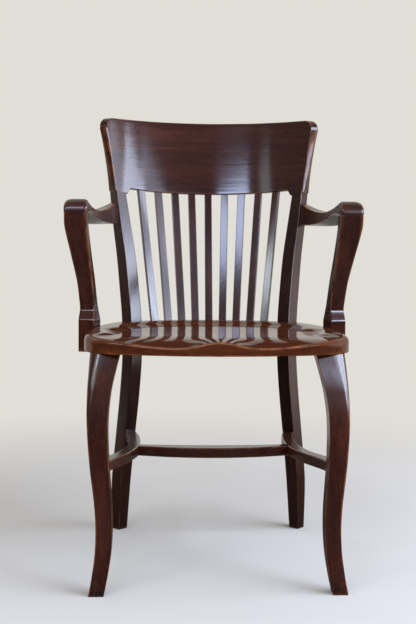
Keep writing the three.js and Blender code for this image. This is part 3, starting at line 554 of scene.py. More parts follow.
def slat_tree():
    tree, given = new_tree("fanned slats", slat_inputs)
    outline = add_node(tree, "GeometryNodeCurvePrimitiveQuadrilateral",
                       {"Width": given["Width"], "Height": given["Depth"]})
    soft = add_node(tree, "GeometryNodeFilletCurve",
                    {"Curve": outline, "Radius": given["Arris"], "Count": slat_arris_steps}, mode="POLY")
    rail = add_node(tree, "GeometryNodeCurvePrimitiveLine", {"Start": (0, 0, 0), "End": (0, 0, 1)})
    fine = add_node(tree, "GeometryNodeResampleCurve", {"Curve": rail, "Count": slat_stations})
    bar = add_node(tree, "GeometryNodeCurveToMesh",
                   {"Curve": fine, "Profile Curve": soft, "Fill Caps": True})
    row = add_node(tree, "GeometryNodeMeshLine", {"Count": given["Slats"], "Offset": (0, 0, 0)})
    middle = times(tree, sum_of(tree, "SUBTRACT", given["Slats"], 1.0), 0.5)
    number = sum_of(tree, "SUBTRACT", add_node(tree, "GeometryNodeInputIndex"), middle)
    solid = set_out(tree, keep(tree, row, "slat", number), bar)
    position = add_node(tree, "GeometryNodeInputPosition")
    place = add_node(tree, "ShaderNodeSeparateXYZ", {0: position}).outputs
    past_flats = []
    for reached, size in ((place[0], given["Width"]), (place[1], given["Depth"])):
        edge = times(tree, size, 0.5)
        flat_end = sum_of(tree, "SUBTRACT", edge, given["Arris"])
        past_flats.append(mapped(tree, sum_of(tree, "ABSOLUTE", reached), flat_end, edge))
    marked = keep(tree, solid, "wear", times(tree, *past_flats))
    height = mapped(tree, place[2], 0.0, 1.0, given["Foot"], given["Head"])
    pitch = mapped(tree, height, seat_height, crest_bottom, given["Foot pitch"], given["Head pitch"],
                   clamp=False)
    side = sum_of(tree, "DIVIDE", times(tree, attribute(tree, "slat"), pitch), given["Radius"])
    turn = times(tree, sum_of(tree, "ARCSINE", side), -1.0)
    face_reach = sum_of(tree, "ADD", given["Radius"], given["Setback"])
    reach = sum_of(tree, "ADD", face_reach, times(tree, given["Depth"], 0.5))
    local = add_node(tree, "ShaderNodeCombineXYZ", {0: place[0], 1: sum_of(tree, "ADD", reach, place[1])})
    turned = add_node(tree, "ShaderNodeVectorRotate", {"Vector": local, "Angle": turn},
                      rotation_type="Z_AXIS")
    lean = times(tree, sum_of(tree, "SUBTRACT", height, seat_height), back_lean)
    behind = sum_of(tree, "ADD", lean, float(back_axis(seat_height) + front_y))
    lift = add_node(tree, "ShaderNodeCombineXYZ", {1: behind, 2: height})
    final = add_node(tree, "ShaderNodeVectorMath", {0: turned, 1: lift}, operation="ADD")
    bent = add_node(tree, "GeometryNodeSetPosition", {"Geometry": marked, "Position": final})
    return closed_tree(tree, bent)


slat_mesh = baked(empty_holder("slat_holder"), slat_tree(), slat_inputs)
slat_numbers = np.zeros(len(slat_mesh.vertices))
slat_mesh.attributes["slat"].data.foreach_get("value", slat_numbers)
slats = finish_piece("polished_slats", slat_mesh,
                     [f"back_slat_{k + 1}" for k in range(slat_count)], 3 + grain_step * slat_numbers)
print("slats:", slat_count, "with", len(slats.data.polygons), "faces")

# %% [markdown]
# Each back post is one long piece of wood from the crest rail to the floor, and its lower half is the rear
# leg. Its square section is turned so that an arris faces the front. Above the seat it follows the leaning
# cylinder, and below the seat it sweeps in, out and back.

# %% Back posts
post_out, post_square, post_head_square, post_foot_square = 168.9 * mm, 30.6 * mm, 25.4 * mm, 23.2 * mm
post_proud, post_turn, post_head_turn = 6 * mm, math.radians(46), math.radians(49)
post_foot_spread, post_head_spread, post_foot_tuck = 24.6 * mm, 32 * mm, 17 * mm
post_leg_shares = [0, 0.162, 0.265, 0.495, 0.659, 0.828, 1]
post_back_shares = [0.297, 0.518, 0.732, 1]
post_spread_shares = [1, 0.92, 0.825, 0.43, 0.146, -0.045, 0, 0.24, 0.46, 0.74, 1.07]
post_size_shares = [0, 0.62, 0.87, 0.93, 0.98, 1, 1, 0.97, 0.85, 0.6, 0]
post_tuck_shares = [0.94, 1, 1.12, 1.15, 1.02, 0.72, 0]
post_leg_heights = np.array(post_leg_shares) * seat_height
post_heights = np.concatenate([post_leg_heights,
                               mix(seat_height, crest_bottom, np.array(post_back_shares))])


def back_face(x, z, behind):
    """The cylinder's face at a place across and a height, moved back by so much."""
    return back_axis(z) + np.sqrt((back_radius + behind) ** 2 - x * x)


def post_frame(z):
    """The post's centre, its two face directions and its size at each height."""
    z = np.atleast_1d(z).astype(float)
    above = np.maximum(z - seat_height, 0) / crest_rise
    spread = np.where(z < seat_height, post_foot_spread, post_head_spread)
    x = post_out + spread * through(post_heights, post_spread_shares, z)
    behind = mix(post_square / 2 - post_proud, crest_thickness / 2, above)
    tuck = post_foot_tuck * through(post_leg_heights, post_tuck_shares, z)
    y = np.where(z < seat_height, back_face(post_out, seat_height, behind) - tuck, back_face(x, z, behind))
    turn = mix(post_turn, post_head_turn, eased(above))
    flat = np.zeros_like(z)
    end_square = np.where(z < seat_height, post_foot_square, post_head_square)
    return (np.column_stack([x, y, z]), np.column_stack([np.sin(turn), -np.cos(turn), flat]),
            np.column_stack([np.cos(turn), np.sin(turn), flat]),
            mix(end_square, post_square, through(post_heights, post_size_shares, z)))


post_stations = leg_stations = 110
post_middle, post_front, post_side, post_size = post_frame(
    np.linspace(0, crest_bottom + crest_sag, post_stations))
posts = pair("polished_back_post",
             softened(section(post_middle, post_front, post_side, post_size, post_size), [arris] * 4),
             "back_post", 12)
print("post square at the seat:", round(float(post_frame(seat_height)[3][0]) / mm, 1), "mm")

# %% [markdown]
# The front legs flare under the seat, with a knee rounded only on the outer front corner. They narrow to
# the ankle, and each foot kicks outward and forward. Four tables hold all of that: where the leg's middle
# lies sideways and forward, and how wide and how deep it is.

# %% Front legs
leg_top, leg_top_depth, leg_foot = 56 * mm, 40 * mm, 27 * mm
leg_knee_across, leg_knee_back = 40 * mm, 24 * mm
leg_inset, leg_setback, leg_rake, leg_kick = 16.2 * mm, 69 * mm, 86 * mm, 12 * mm
leg_height_shares = [0, 0.09, 0.2, 0.34, 0.56, 0.72, 0.84, 0.925, 1]
leg_out_shares = [0.845, 0.267, -0.16, -0.155, 0.61, 0.91, 0.752, 0.38, 0]
leg_rake_shares = [0, 0.066, 0.159, 0.224, 0.366, 0.528, 0.712, 0.86, 1]
leg_width_shares = [0, 0.035, 0.066, 0.117, 0.255, 0.379, 0.559, 0.776, 1]
leg_depth_shares = [0, 0.04, 0.1, 0.2, 0.45, 0.6, 0.75, 0.9, 1]
leg_knee_shares = [0.05, 0.05, 0.06, 0.08, 0.13, 0.22, 0.46, 0.72, 1]
joint_gap = 0.3 * mm
leg_height = seat_bottom - joint_gap
x_axis, y_axis, z_axis = np.eye(3)


def leg_at(share):
    """The leg's middle, width and depth at shares of its height."""
    share = np.atleast_1d(share)
    out = leg_kick * through(leg_height_shares, leg_out_shares, share)
    rake = leg_rake * (1 - through(leg_height_shares, leg_rake_shares, share))
    centre = np.column_stack([seat_half_width - leg_inset - leg_top / 2 + out, leg_setback - rake,
                              leg_height * share])
    width = mix(leg_foot, leg_top, through(leg_height_shares, leg_width_shares, share))
    depth = mix(leg_foot, leg_top_depth, through(leg_height_shares, leg_depth_shares, share))
    return centre, width, depth


leg_shares = np.linspace(0, 1, leg_stations)
leg_middle, leg_width, leg_depth = leg_at(leg_shares)
knee = through(leg_height_shares, leg_knee_shares, leg_shares)
legs = pair("polished_front_leg",
            softened(section(leg_middle, x_axis, y_axis, leg_width, leg_depth),
                     [arris, arris, arris, (leg_knee_across * knee, leg_knee_back * knee)], 10, most=0.8),
            "front_leg", 14)
print("front leg foot:", round(float(leg_width[0]) / mm, 1), "mm wide at X",
      round(float(leg_middle[0, 0]) / mm, 1))

# %% [markdown]
# The side stretchers are cut from flat board in a bow that swings inward between the legs, and the cross
# stretcher joins them with its two edges bellied forward. All three are bars swept along a level line.

# %% Stretchers
bow_top, bow_fall, bow_width, bow_thickness, bow_reach = 226 * mm, 11 * mm, 23 * mm, 19.5 * mm, 32.5 * mm
bow_along_shares = [0, 0.115, 0.258, 0.338, 0.489, 0.651, 0.83, 0.92, 1]
bow_in_shares = [0, 0.25, 0.71, 0.87, 1, 0.85, 0.52, 0.26, 0]
cross_place_share = 0.508
cross_width, cross_belly_front, cross_belly_back, cross_thickness = 19 * mm, 25 * mm, 10 * mm, 19.5 * mm
bow_middle = bow_top - bow_thickness / 2
stretcher_stations, stretcher_arris = 70, arris * 1.5
sink = 6 * mm


def bow_ends():
    """Where a side stretcher leaves the back of the leg, and where it meets the post."""
    front_centre, _, front_depth = leg_at(bow_middle / leg_height)
    rear_middle, _, rear_out, rear_square = post_frame(bow_middle - bow_fall)
    return (front_centre[0] + y_axis * front_depth[0] / 2,
            rear_middle[0] - rear_out[0] * rear_square[0] / 2)


def bow_at(share):
    share = np.atleast_1d(share)
    start, end = bow_ends()
    line = mix(start, end, share[:, None])
    return line - np.outer(bow_reach * through(bow_along_shares, bow_in_shares, share), x_axis)


bow_path = bow_at(np.linspace(0, 1, stretcher_stations))
heading = unit(np.gradient(bow_path, axis=0) * np.array([1, 1, 0]))
bow_path[0] -= heading[0] * sink
bow_path[-1] += heading[-1] * sink
bow_side = np.column_stack([heading[:, 1], -heading[:, 0], np.zeros(len(heading))])
bows = pair("polished_side_stretcher",
            softened(section(bow_path, bow_side, z_axis, bow_width, bow_thickness), [stretcher_arris] * 4),
            "side_stretcher", 16)

cross_end = bow_at(cross_place_share)[0]
cross_half = cross_end[0] - bow_width / 2
cross_x = np.linspace(-cross_half - sink, cross_half + sink, stretcher_stations)
belly = 1 - np.minimum(np.abs(cross_x) / cross_half, 1) ** 2
cross_front = cross_end[1] - cross_width / 2 - cross_belly_front * belly
cross_back = cross_end[1] + cross_width / 2 - cross_belly_back * belly
cross_z = cross_end[2] + (bow_thickness - cross_thickness) / 2
cross_path = np.column_stack([cross_x, (cross_front + cross_back) / 2, np.full(len(cross_x), cross_z)])
cross = single("polished_cross_stretcher",
               softened(section(cross_path, y_axis, z_axis, cross_back - cross_front, cross_thickness),
                        [stretcher_arris] * 4), "cross_stretcher", 18)
print("cross stretcher:", round(2 * cross_half / mm, 1), "mm between the side stretchers")

# %% [markdown]
# An arm starts as a tall thin board on the post, dips, and twists into a flat pad that rolls over at the
# front. Its section keeps four corners all the way, so each corner has a rail of its own: two tables for
# the upper and lower edges and one for how far out it has come.

# %% Arms
arm_top, arm_pad, arm_dip = seat_height + 256 * mm, 30 * mm, 19 * mm
arm_root, arm_root_height, arm_width = 22 * mm, 44 * mm, 47 * mm
arm_front_inset, arm_front_round, arm_nose_corner = 10.5 * mm, 29 * mm, 8 * mm
arm_corner_round, arm_edge_round = 19 * mm, 3 * mm
arm_along_shares = [0, 0.07, 0.165, 0.283, 0.418, 0.578, 0.747, 0.873, 1]
arm_out_shares = [0, 0.06, 0.28, 0.52, 0.705, 0.853, 0.945, 1, 1]
arm_top_shares = [-0.25, 0, 0.52, 0.9, 1, 0.79, 0.42, 0.08, 0]
arm_under_in_shares = [0, 0, -0.07, 0.14, 0.62, 1.2, 1.4, 1.2, 1]
arm_under_out_shares = [-0.1, -0.14, -0.21, -0.29, -0.21, 0, 0.75, 1, 1]
arm_swell_share, arm_inner_round_share, arm_under_round_share = 0.333, 0.4, 0.5
arm_stations, nose_stations, nose_crowding = 90, 24, 1.6
tuck_size, tuck_move, seam_margin = 0.96, np.array([0, 0.6, -3]) * mm, 0.2
support_place, support_housing = 269 * mm, 3.5 * mm
support_neck_setback, support_throw = 13 * mm, 50.5 * mm
support_out = float(np.interp(support_place, seat_side[:, 1], seat_side[:, 0])) - support_housing
arm_front = support_place + support_neck_setback - support_throw
arm_root_frame = post_frame(arm_top - arm_root_height / 2)


def arm_rail(across_share, t, z):
    """One corner's place along the arm."""
    at_root, front, side, size = post_frame(z)
    root = at_root + front * (size / 2)[:, None] + side * arm_root * (across_share - 0.5)
    outward = support_out + arm_front_inset + arm_width * across_share - root[:, 0]
    x = root[:, 0] + outward * through(arm_along_shares, arm_out_shares, t)
    return np.column_stack([x, mix(root[:, 1], arm_front, t), z])


def arm_section(t, drop, pull):
    """The four corners, and the radius of each, at shares along the arm. Pull draws the sides in."""
    high = arm_top - arm_dip * through(arm_along_shares, arm_top_shares, t) - drop
    under_in, under_out = (arm_top - arm_root_height + (arm_root_height - arm_pad)
                           * through(arm_along_shares, shares, t)
                           for shares in (arm_under_in_shares, arm_under_out_shares))
    swell = eased((t - arm_swell_share) / (1 - arm_swell_share)) * (1 - drop / arm_pad)
    outer = mix(arm_edge_round, arm_corner_round, swell)
    narrow = np.outer(pull, x_axis)
    corners = np.stack([arm_rail(0, t, under_in) + narrow, arm_rail(1, t, under_out) - narrow,
                        arm_rail(1, t, high) - narrow, arm_rail(0, t, high) + narrow], axis=1)
    edge = np.full(len(t), arm_edge_round)
    return corners, [edge * arm_under_round_share, edge, outer,
                     mix(arm_edge_round, outer, arm_inner_round_share)]


flat_share = float(1 - arm_front_round / (arm_root_frame[0][0, 1] - arm_front))
nose = math.pi / 2 * (1 - (1 - np.linspace(0, 1, nose_stations + 1)[1:]) ** nose_crowding)
arm_t = np.concatenate([np.linspace(0, flat_share, arm_stations), mix(flat_share, 1, np.sin(nose))])
no_nose = np.zeros(arm_stations)
arm_drop = np.concatenate([no_nose, arm_front_round * (1 - np.cos(nose))])
nose_left = arm_front_round * (1 - np.sin(nose)) / arm_nose_corner
nose_pull = arm_nose_corner * (1 - np.sqrt(np.clip(1 - np.maximum(1 - nose_left, 0) ** 2, 0, 1)))
arm_corners, arm_radii = arm_section(arm_t, arm_drop, np.concatenate([no_nose, nose_pull]))
arm_rings = softened(arm_corners, arm_radii, 6)
nose_end = arm_rings[-1:]
nose_middle = nose_end.mean(axis=(0, 1))
tucked = (nose_end - nose_middle) * tuck_size + nose_middle + tuck_move
arm_rings = np.concatenate([arm_rings[:1] - arm_root_frame[1][0] * sink, arm_rings, tucked])
arms = pair("polished_arm", arm_rings, "arm", 20)
for arm in arms:  # No wear shows at the seam between the nose and the support.
    places, worn = np.zeros(3 * len(arm.data.vertices)), np.zeros(len(arm.data.vertices))
    arm.data.vertices.foreach_get("co", places)
    arm.data.attributes["wear"].data.foreach_get("value", worn)
    back, high = places.reshape(-1, 3)[:, 1:].T
    behind_nose = (back - front_y - arm_front) / arm_front_round
    above_joint = (high - arm_top + arm_pad) / (arm_pad / 2) - seam_margin
    worn *= np.clip(np.maximum(behind_nose, above_joint), 0, 1)
    arm.data.attributes["wear"].data.foreach_set("value", worn)
print("arm:", round((arm_root_frame[0][0, 1] - arm_front) / mm, 1), "mm from the post to its nose")

# %% [markdown]
# Each arm stands on a support that is screwed to the side of the seat. It has a plain block, a bevelled
# shoulder below a narrow neck, and a head that swells outward and forward until it meets the arm without a
# visible joint. Its front corners grow rounder on the way up, to the roundness of the arm's nose.

# %% Arm supports
support_foot, support_block_top = seat_height - 52 * mm, seat_height + 13 * mm
support_neck_height, support_cap, support_cap_inset = seat_height + 35 * mm, 9 * mm, 4 * mm
support_width, support_depth = 34.2 * mm, 35 * mm
support_turn, support_head_turn = math.radians(19), math.radians(1)
support_neck, support_neck_depth, support_neck_inset = 30.8 * mm, 23.5 * mm, 0.8 * mm
support_head, support_head_inset, support_head_depth = 47 * mm, 10.5 * mm, 30 * mm
support_up_shares = [0, 0.05, 0.29, 0.56, 0.87, 1]
support_width_shares = [0, 0, 0.117, 0.469, 0.957, 1]
support_in_shares = [0, 0, 0.22, 0.66, 1.04, 1]
support_throw_shares = [0, 0.02, 0.24, 0.53, 0.88, 1]
support_edge_round = 8 * mm
support_top = arm_top - arm_pad - joint_gap
support_sharp, support_stations, block_stations = arris * 1.5, 70, 8
bevel_shares, block_round_shares, neck_round_share = np.array([[0.3], [0.5]]), (0.03, 0.12), 0.76
cap_shares, block_end_share = np.array([0.3, 1]), 0.95


def stations(*columns):
    """Rows of height, inner face, front face, width, depth, turn and front rounding."""
    return np.column_stack(np.broadcast_arrays(*columns))


def bend(before, corner, after, steps=6):
    """A short curve instead of a sharp corner between two runs of stations."""
    t = np.linspace(0, 1, steps)[:, None]
    return (1 - t) ** 2 * before + 2 * t * (1 - t) * corner + t * t * after


foot_row, block_row = stations(np.array([support_foot, support_block_top]), support_out, support_place,
                               support_width, support_depth, support_turn, support_sharp)
up = np.linspace(0, 1, support_stations)
head_in, head_throw, head_wide = (through(support_up_shares, shares, up)
                                  for shares in (support_in_shares, support_throw_shares,
                                                 support_width_shares))
head = stations(mix(support_neck_height, support_top, up),
                support_out + mix(support_neck_inset, support_head_inset, head_in),
                support_place + support_neck_setback - support_throw * head_throw,
                mix(support_neck, support_head, head_wide), mix(support_neck_depth, support_head_depth, up),
                mix(support_turn, support_head_turn, np.sqrt(up)),
                mix(support_sharp, support_edge_round, up))
block_bend = bend(mix(block_row, foot_row, block_round_shares[0]), block_row,
                  mix(block_row, head[0], block_round_shares[1]))
neck_bend = bend(mix(block_row, head[0], neck_round_share), head[0], head[3])
drawn = support_cap_inset * cap_shares
cap = stations(support_top + support_cap * cap_shares, support_out + support_head_inset + drawn,
               support_place + support_neck_setback - support_throw + drawn, support_head - 2 * drawn,
               support_head_depth - drawn, support_head_turn, support_edge_round)
block = mix(foot_row, block_row, np.linspace(0, block_end_share, block_stations)[:, None])
rows = np.vstack([block, block_bend, mix(block_row, head[0], bevel_shares), neck_bend, head[4:], cap])
rise, inner, front, width, depth, turn, front_round = rows.T
flat = np.zeros(len(rows))
facing_out = np.column_stack([np.cos(turn), np.sin(turn), flat])
facing_back = np.column_stack([-np.sin(turn), np.cos(turn), flat])
middle = (np.column_stack([inner, front, rise]) + facing_out * width[:, None] / 2
          + facing_back * depth[:, None] / 2)
supports = pair("polished_arm_support",
                softened(section(middle, facing_out, facing_back, width, depth),
                         [support_sharp, support_sharp, front_round, front_round], 5),
                "arm_support", 22)
print("arm support:", round((support_top - support_foot) / mm, 1), "mm high")

# %% [markdown]
# A wood plug covers the head of every screw, and it is pared off almost flush. There are four to a side, so
# one tree of Geometry Nodes sets the same low disc on a point for each, turned to face the way that the
# point's own direction says. The discs stand proud by the little that a plug rises as the wood dries.

# %% Plugs
plug_height = seat_height - seat_thickness / 2
plug_inputs = {
    "Radius": ("NodeSocketFloat", 4.8 * mm),
    "Chamfer": ("NodeSocketFloat", 0.4 * mm),
    "Thickness": ("NodeSocketFloat", 0.8 * mm),
    "Proud": ("NodeSocketFloat", 0.15 * mm),
}


def plug_places():
    """The middle of each plug on the right side, and the way that it faces."""
    seat_at, _, seat_out, seat_square = (part[0] for part in post_frame(plug_height))
    arm_at, arm_facing, arm_out, arm_square = (part[0] for part in arm_root_frame)
    outward = np.array([math.cos(support_turn), math.sin(support_turn), 0])
    along = np.array([-outward[1], outward[0], 0])
    block_at = np.array([support_out, support_place, plug_height]) + outward * support_width
    screw_pitch, screw_inset = 15 * mm, 6 * mm
    return ([(seat_at + seat_out * seat_square / 2, seat_out),
             (arm_at - arm_facing * arm_square / 2 - arm_out * screw_inset, -arm_facing)]
            + [(block_at + along * (support_depth + end * screw_pitch) / 2, outward) for end in (-1, 1)])


def plug_tree():
    tree, given = new_tree("wood plugs", plug_inputs)
    top = sum_of(tree, "SUBTRACT", given["Radius"], given["Chamfer"])
    disc = add_node(tree, "GeometryNodeMeshCone", {
        "Vertices": 48, "Side Segments": 2, "Radius Top": top, "Radius Bottom": given["Radius"],
        "Depth": given["Thickness"]})
    rise = add_node(tree, "ShaderNodeCombineXYZ",
                    {2: sum_of(tree, "SUBTRACT", given["Proud"], given["Thickness"])})
    seated = add_node(tree, "GeometryNodeTransform", {"Geometry": disc, "Translation": rise})
    turn = add_node(tree, "FunctionNodeAlignRotationToVector",
                    {"Vector": attribute(tree, "facing", "FLOAT_VECTOR")}, axis="Z")
    return closed_tree(tree, set_out(tree, given["Geometry"], seated, turn))


plug_holder = empty_holder("plug_holder")
plug_spots = [(np.array([side, 1, 1]) * to_frame(place), np.array([side, 1, 1]) * facing)
              for side in (1, -1) for place, facing in plug_places()]
plug_holder.data.from_pydata([spot[0].tolist() for spot in plug_spots], [], [])
store(plug_holder.data, "facing", np.concatenate([spot[1] for spot in plug_spots]),
      "FLOAT_VECTOR", "vector")
plugs = finish_piece("pared_plugs", baked(plug_holder, plug_tree(), plug_inputs),
                     [f"{name}_plug_{side}" for name in ("post", "arm", "support_front", "support_rear")
                      for side in ("right", "left")], 30)
print("plugs:", len(plug_spots), "with", len(plugs.data.polygons), "faces")

# %% [markdown]
# Mahogany under French polish is a dark, reddish wood under a thin clear film. The wood gives the colour:
# broad tones, fine streaks and short dark pores, all drawn out along the grain. The film gives the gloss,
# so it is the shader's coat, nearly smooth. The wood below it has no gloss of its own, because a dull
# reflection at a low angle would lay a grey veil over the seat. Where the surface turns sharply, the stain
# is rubbed through to a warm orange brown.

# %% Wood material
def noise(tree, vector, scale, detail, roughness=0.5):
    return add_node(tree, "ShaderNodeTexNoise",
                    {"Vector": vector, "Scale": scale, "Detail": detail, "Roughness": roughness})


def bump(tree, height, strength, distance, **below):
    """Raises the surface by a height. What lies below is another bump."""
    return add_node(tree, "ShaderNodeBump",
                    {"Height": height, "Strength": strength, "Distance": distance, **below})


def ramp(tree, value, *stops):
    """A colour ramp through stops of a place and a colour."""
    node = add_node(tree, "ShaderNodeValToRGB", {0: value})
    elements = node.color_ramp.elements
    while len(elements) < len(stops):
        elements.new(0.5)
    for element, (place, colour) in zip(elements, stops):
        element.position, element.color = place, (*colour, 1)
    return node


def blended(tree, factor, a, b, kind="MIX"):
    """The colours a and b, blended by the factor."""
    return add_node(tree, "ShaderNodeMix", {0: factor, 6: a, 7: b}, data_type="RGBA",
                    blend_type=kind).outputs[2]


def new_material(name):
    """A material, its emptied tree, and the place on the piece as the tree reads it."""
    material = bpy.data.materials.new(name)
    material.use_nodes = True
    tree = material.node_tree
    tree.nodes.clear()
    return material, tree, add_node(tree, "ShaderNodeTexCoord").outputs["Object"]


dark_wood, middle_wood, light_wood = (0.019, 0.0054, 0.0038), (0.038, 0.0102, 0.0062), (0.070, 0.02, 0.0102)
pore_dark, worn_wood, scuff_dark = (0.45, 0.4, 0.4), (0.30, 0.095, 0.024), (0.010, 0.006, 0.005)
tone_scale, streak_scale, pore_scale, ripple_scale = 26, 190, 1150, 60
patch_scale, scuff_scale, dull_scale = 38, 120, 9
tone_part, tone_stops, piece_shift = 0.65, (0.33, 0.5, 0.68), (0.317, 0.211, 0.173)
scuff_top, scuff_full = 45 * mm, 5 * mm
pore_edge, patch_edge, scuff_edge, dullness = (0.34, 0.42), (0.36, 0.62), (0.42, 0.58), (0.38, 0.52)
ripple_strength, pore_strength, streak_strength, film_ior = 0.05, 0.25, 0.2, 1.52
ripple_height, pore_height, streak_height = 1.2 * mm, 0.2 * mm, 0.3 * mm


def polished_wood(name, grain, wear=0.7, gloss=0.12, lift=(1.0, 1.0, 1.0), film=1.0, unevenness=1.0):
    """Mahogany whose grain runs along the axis that has the smallest of three scales."""
    material, tree, place = new_material(name)
    number = add_node(tree, "ShaderNodeAttribute", attribute_name="piece").outputs["Fac"]
    shift = add_node(tree, "ShaderNodeCombineXYZ",
                     {axis: times(tree, number, share) for axis, share in enumerate(piece_shift)})
    moved = add_node(tree, "ShaderNodeVectorMath", {0: place, 1: shift}, operation="ADD")
    along = add_node(tree, "ShaderNodeMapping", {"Vector": moved, "Scale": grain})
    streaks = noise(tree, along, streak_scale, 5, 0.6)
    figure = sum_of(tree, "ADD", times(tree, noise(tree, along, tone_scale, 3, 0.6), tone_part),
                    times(tree, streaks, 1 - tone_part))
    lifted = [tuple(channel * more for channel, more in zip(colour, lift))
              for colour in (dark_wood, middle_wood, light_wood)]
    pores = mapped(tree, noise(tree, along, pore_scale, 2), *pore_edge)
    pored = blended(tree, 1.0, ramp(tree, figure, *zip(tone_stops, lifted)),
                    ramp(tree, pores, (0, pore_dark), (1, (1, 1, 1))), "MULTIPLY")
    near_floor = mapped(tree, add_node(tree, "ShaderNodeSeparateXYZ", {0: place}).outputs[2],
                        scuff_top, scuff_full)
    scuffs = mapped(tree, noise(tree, moved, scuff_scale, 5, 0.7), *scuff_edge)
    scuffed = blended(tree, times(tree, near_floor, scuffs), pored, scuff_dark)
    turned_edge = add_node(tree, "ShaderNodeAttribute", attribute_name="wear").outputs["Fac"]
    patches = mapped(tree, noise(tree, moved, patch_scale, 4), *patch_edge)
    rubbed = times(tree, times(tree, turned_edge, patches), wear)
    dull = mapped(tree, noise(tree, moved, dull_scale, 3), 0.0, 1.0, *dullness)
    ripple = bump(tree, noise(tree, along, ripple_scale, 2), ripple_strength * unevenness, ripple_height)
    shader = add_node(tree, "ShaderNodeBsdfPrincipled", {
        "Base Color": blended(tree, rubbed, scuffed, worn_wood), "Roughness": dull,
        "Specular IOR Level": 0.0, "Coat Weight": film, "Coat Roughness": gloss, "Coat IOR": film_ior,
        "Normal": bump(tree, pores, pore_strength, pore_height, Normal=ripple),
        "Coat Normal": bump(tree, streaks, streak_strength * unevenness, streak_height,
                            Normal=ripple)})
    add_node(tree, "ShaderNodeOutputMaterial", {"Surface": shader})
    return material


stretch, cross_stretch = 0.045, 0.12
upright_wood = polished_wood("mahogany_upright", (1, 1, stretch), wear=0.55)
post_wood = polished_wood("mahogany_posts", (1, 1, stretch), wear=0.2, gloss=0.19, lift=(0.7, 0.75, 0.75))
leg_wood = polished_wood("mahogany_legs", (1, 1, stretch), wear=0.55, gloss=0.16)
sideways_wood = polished_wood("mahogany_sideways", (stretch, cross_stretch, 1), wear=0.4)
seat_wood = polished_wood("mahogany_seat", (stretch, 1, 1), wear=0.75, gloss=0.08, lift=(2.0, 1.95, 1.25),
                          film=0.74, unevenness=0.4)
forward_wood = polished_wood("mahogany_forward", (1, stretch, 1), wear=0.55, gloss=0.24)
for piece in pieces:
    piece.data.materials.clear()
dressing = {
    seat_wood: [seat], sideways_wood: [crest, cross], upright_wood: [slats, *supports],
    leg_wood: legs, post_wood: posts, forward_wood: [*arms, *bows],
}
for material, dressed in dressing.items():
    for piece in dressed:
        piece.data.materials.append(material)
print("wood materials:", len(dressing))

# %% [markdown]
# Screws and dowels are sealed inside the wood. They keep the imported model's shapes, and each gets a finish
# of its own: drawn steel with fine turning lines, and bare beech. The plugs show as faint discs on the
# backs of the posts and the outer faces of the supports, a little darker than the wood round them.

# %% Fastener materials
roughness_swing = 0.2


def plain_finish(name, base, second, scale, roughness, metallic=0.0):
    """Two colours in a fine grain, which is also a little rougher where the second colour shows."""
    material, tree, place = new_material(name)
    grain = noise(tree, place, scale, 4)
    shader = add_node(tree, "ShaderNodeBsdfPrincipled", {
        "Base Color": ramp(tree, grain, (0.35, base), (0.65, second)), "Metallic": metallic,
        "Roughness": mapped(tree, grain, 0.0, 1.0, roughness * (1 - roughness_swing),
                            roughness * (1 + roughness_swing))})
    add_node(tree, "ShaderNodeOutputMaterial", {"Surface": shader})
    return material


steel = plain_finish("drawn_steel", (0.24, 0.235, 0.225), (0.33, 0.32, 0.31), 900, 0.36, 1.0)
beech = plain_finish("bare_beech", (0.42, 0.25, 0.11), (0.55, 0.35, 0.17), 260, 0.62)
plug = plain_finish("plug_mahogany", (0.028, 0.008, 0.005), (0.06, 0.016, 0.008), 700, 0.25)
plugs.data.materials.append(plug)
dressed_nodes = 0
for node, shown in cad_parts.items():
    for word, material in (("screw", steel), ("dowel", beech)):
        if word in node:
            shown.data.materials.clear()
            shown.data.materials.append(material)
            dressed_nodes += 1
print("fasteners dressed:", dressed_nodes)

# %% [markdown]
# The stage is a pale floor that fades into the background, so that no horizon crosses the picture. Near the
# chair it is a plain diffuse surface, which keeps the chair's shadow. Further out it turns into the
# background's own colour for the camera. Mirrored in the wood it does so only behind the chair, because in
# front of the chair the room is dim.

# %% Floor
floor_pale, floor_mirrored, background = (0.70, 0.68, 0.63), (0.07, 0.065, 0.057), (0.75, 0.735, 0.68)
floor_radius, fade_from, fade_to = 6.0, 0.6, 1.8
behind_from, behind_full, mottle_scale, mottle_shade = 0.1, 0.5, 5, 0.93
smooth = {"interpolation_type": "SMOOTHSTEP"}


def floor_material():
    material, tree, place = new_material("pale_floor")
    far = add_node(tree, "ShaderNodeVectorMath", {0: place}, operation="LENGTH").outputs["Value"]
    fade = mapped(tree, far, fade_from, fade_to, **smooth)
    behind = mapped(tree, add_node(tree, "ShaderNodeSeparateXYZ", {0: place}).outputs[1],
                    behind_from, behind_full)
    path = add_node(tree, "ShaderNodeLightPath").outputs
    mirrored = times(tree, path["Is Glossy Ray"], behind)
    straight = sum_of(tree, "MAXIMUM", path["Is Camera Ray"], path["Is Transmission Ray"])
    seen = sum_of(tree, "MAXIMUM", mirrored, straight)
    shade = tuple(channel * mottle_shade for channel in floor_pale)
    mottle = blended(tree, noise(tree, place, mottle_scale, 5), floor_pale, shade)
    surface = add_node(tree, "ShaderNodeBsdfDiffuse",
                       {"Color": blended(tree, path["Is Glossy Ray"], mottle, floor_mirrored)})
    glow = add_node(tree, "ShaderNodeEmission", {"Color": background, "Strength": 1.0})
    both = add_node(tree, "ShaderNodeMixShader", {0: times(tree, fade, seen), 1: surface, 2: glow})
    add_node(tree, "ShaderNodeOutputMaterial", {"Surface": both})
    return material


disc = bmesh.new()
bmesh.ops.create_circle(disc, cap_ends=True, segments=96, radius=floor_radius)
floor_mesh = bpy.data.meshes.new("floor")
disc.to_mesh(floor_mesh)
disc.free()
floor_mesh.materials.append(floor_material())
floor = in_scene("floor", floor_mesh)
print("floor radius:", floor_radius, "m")

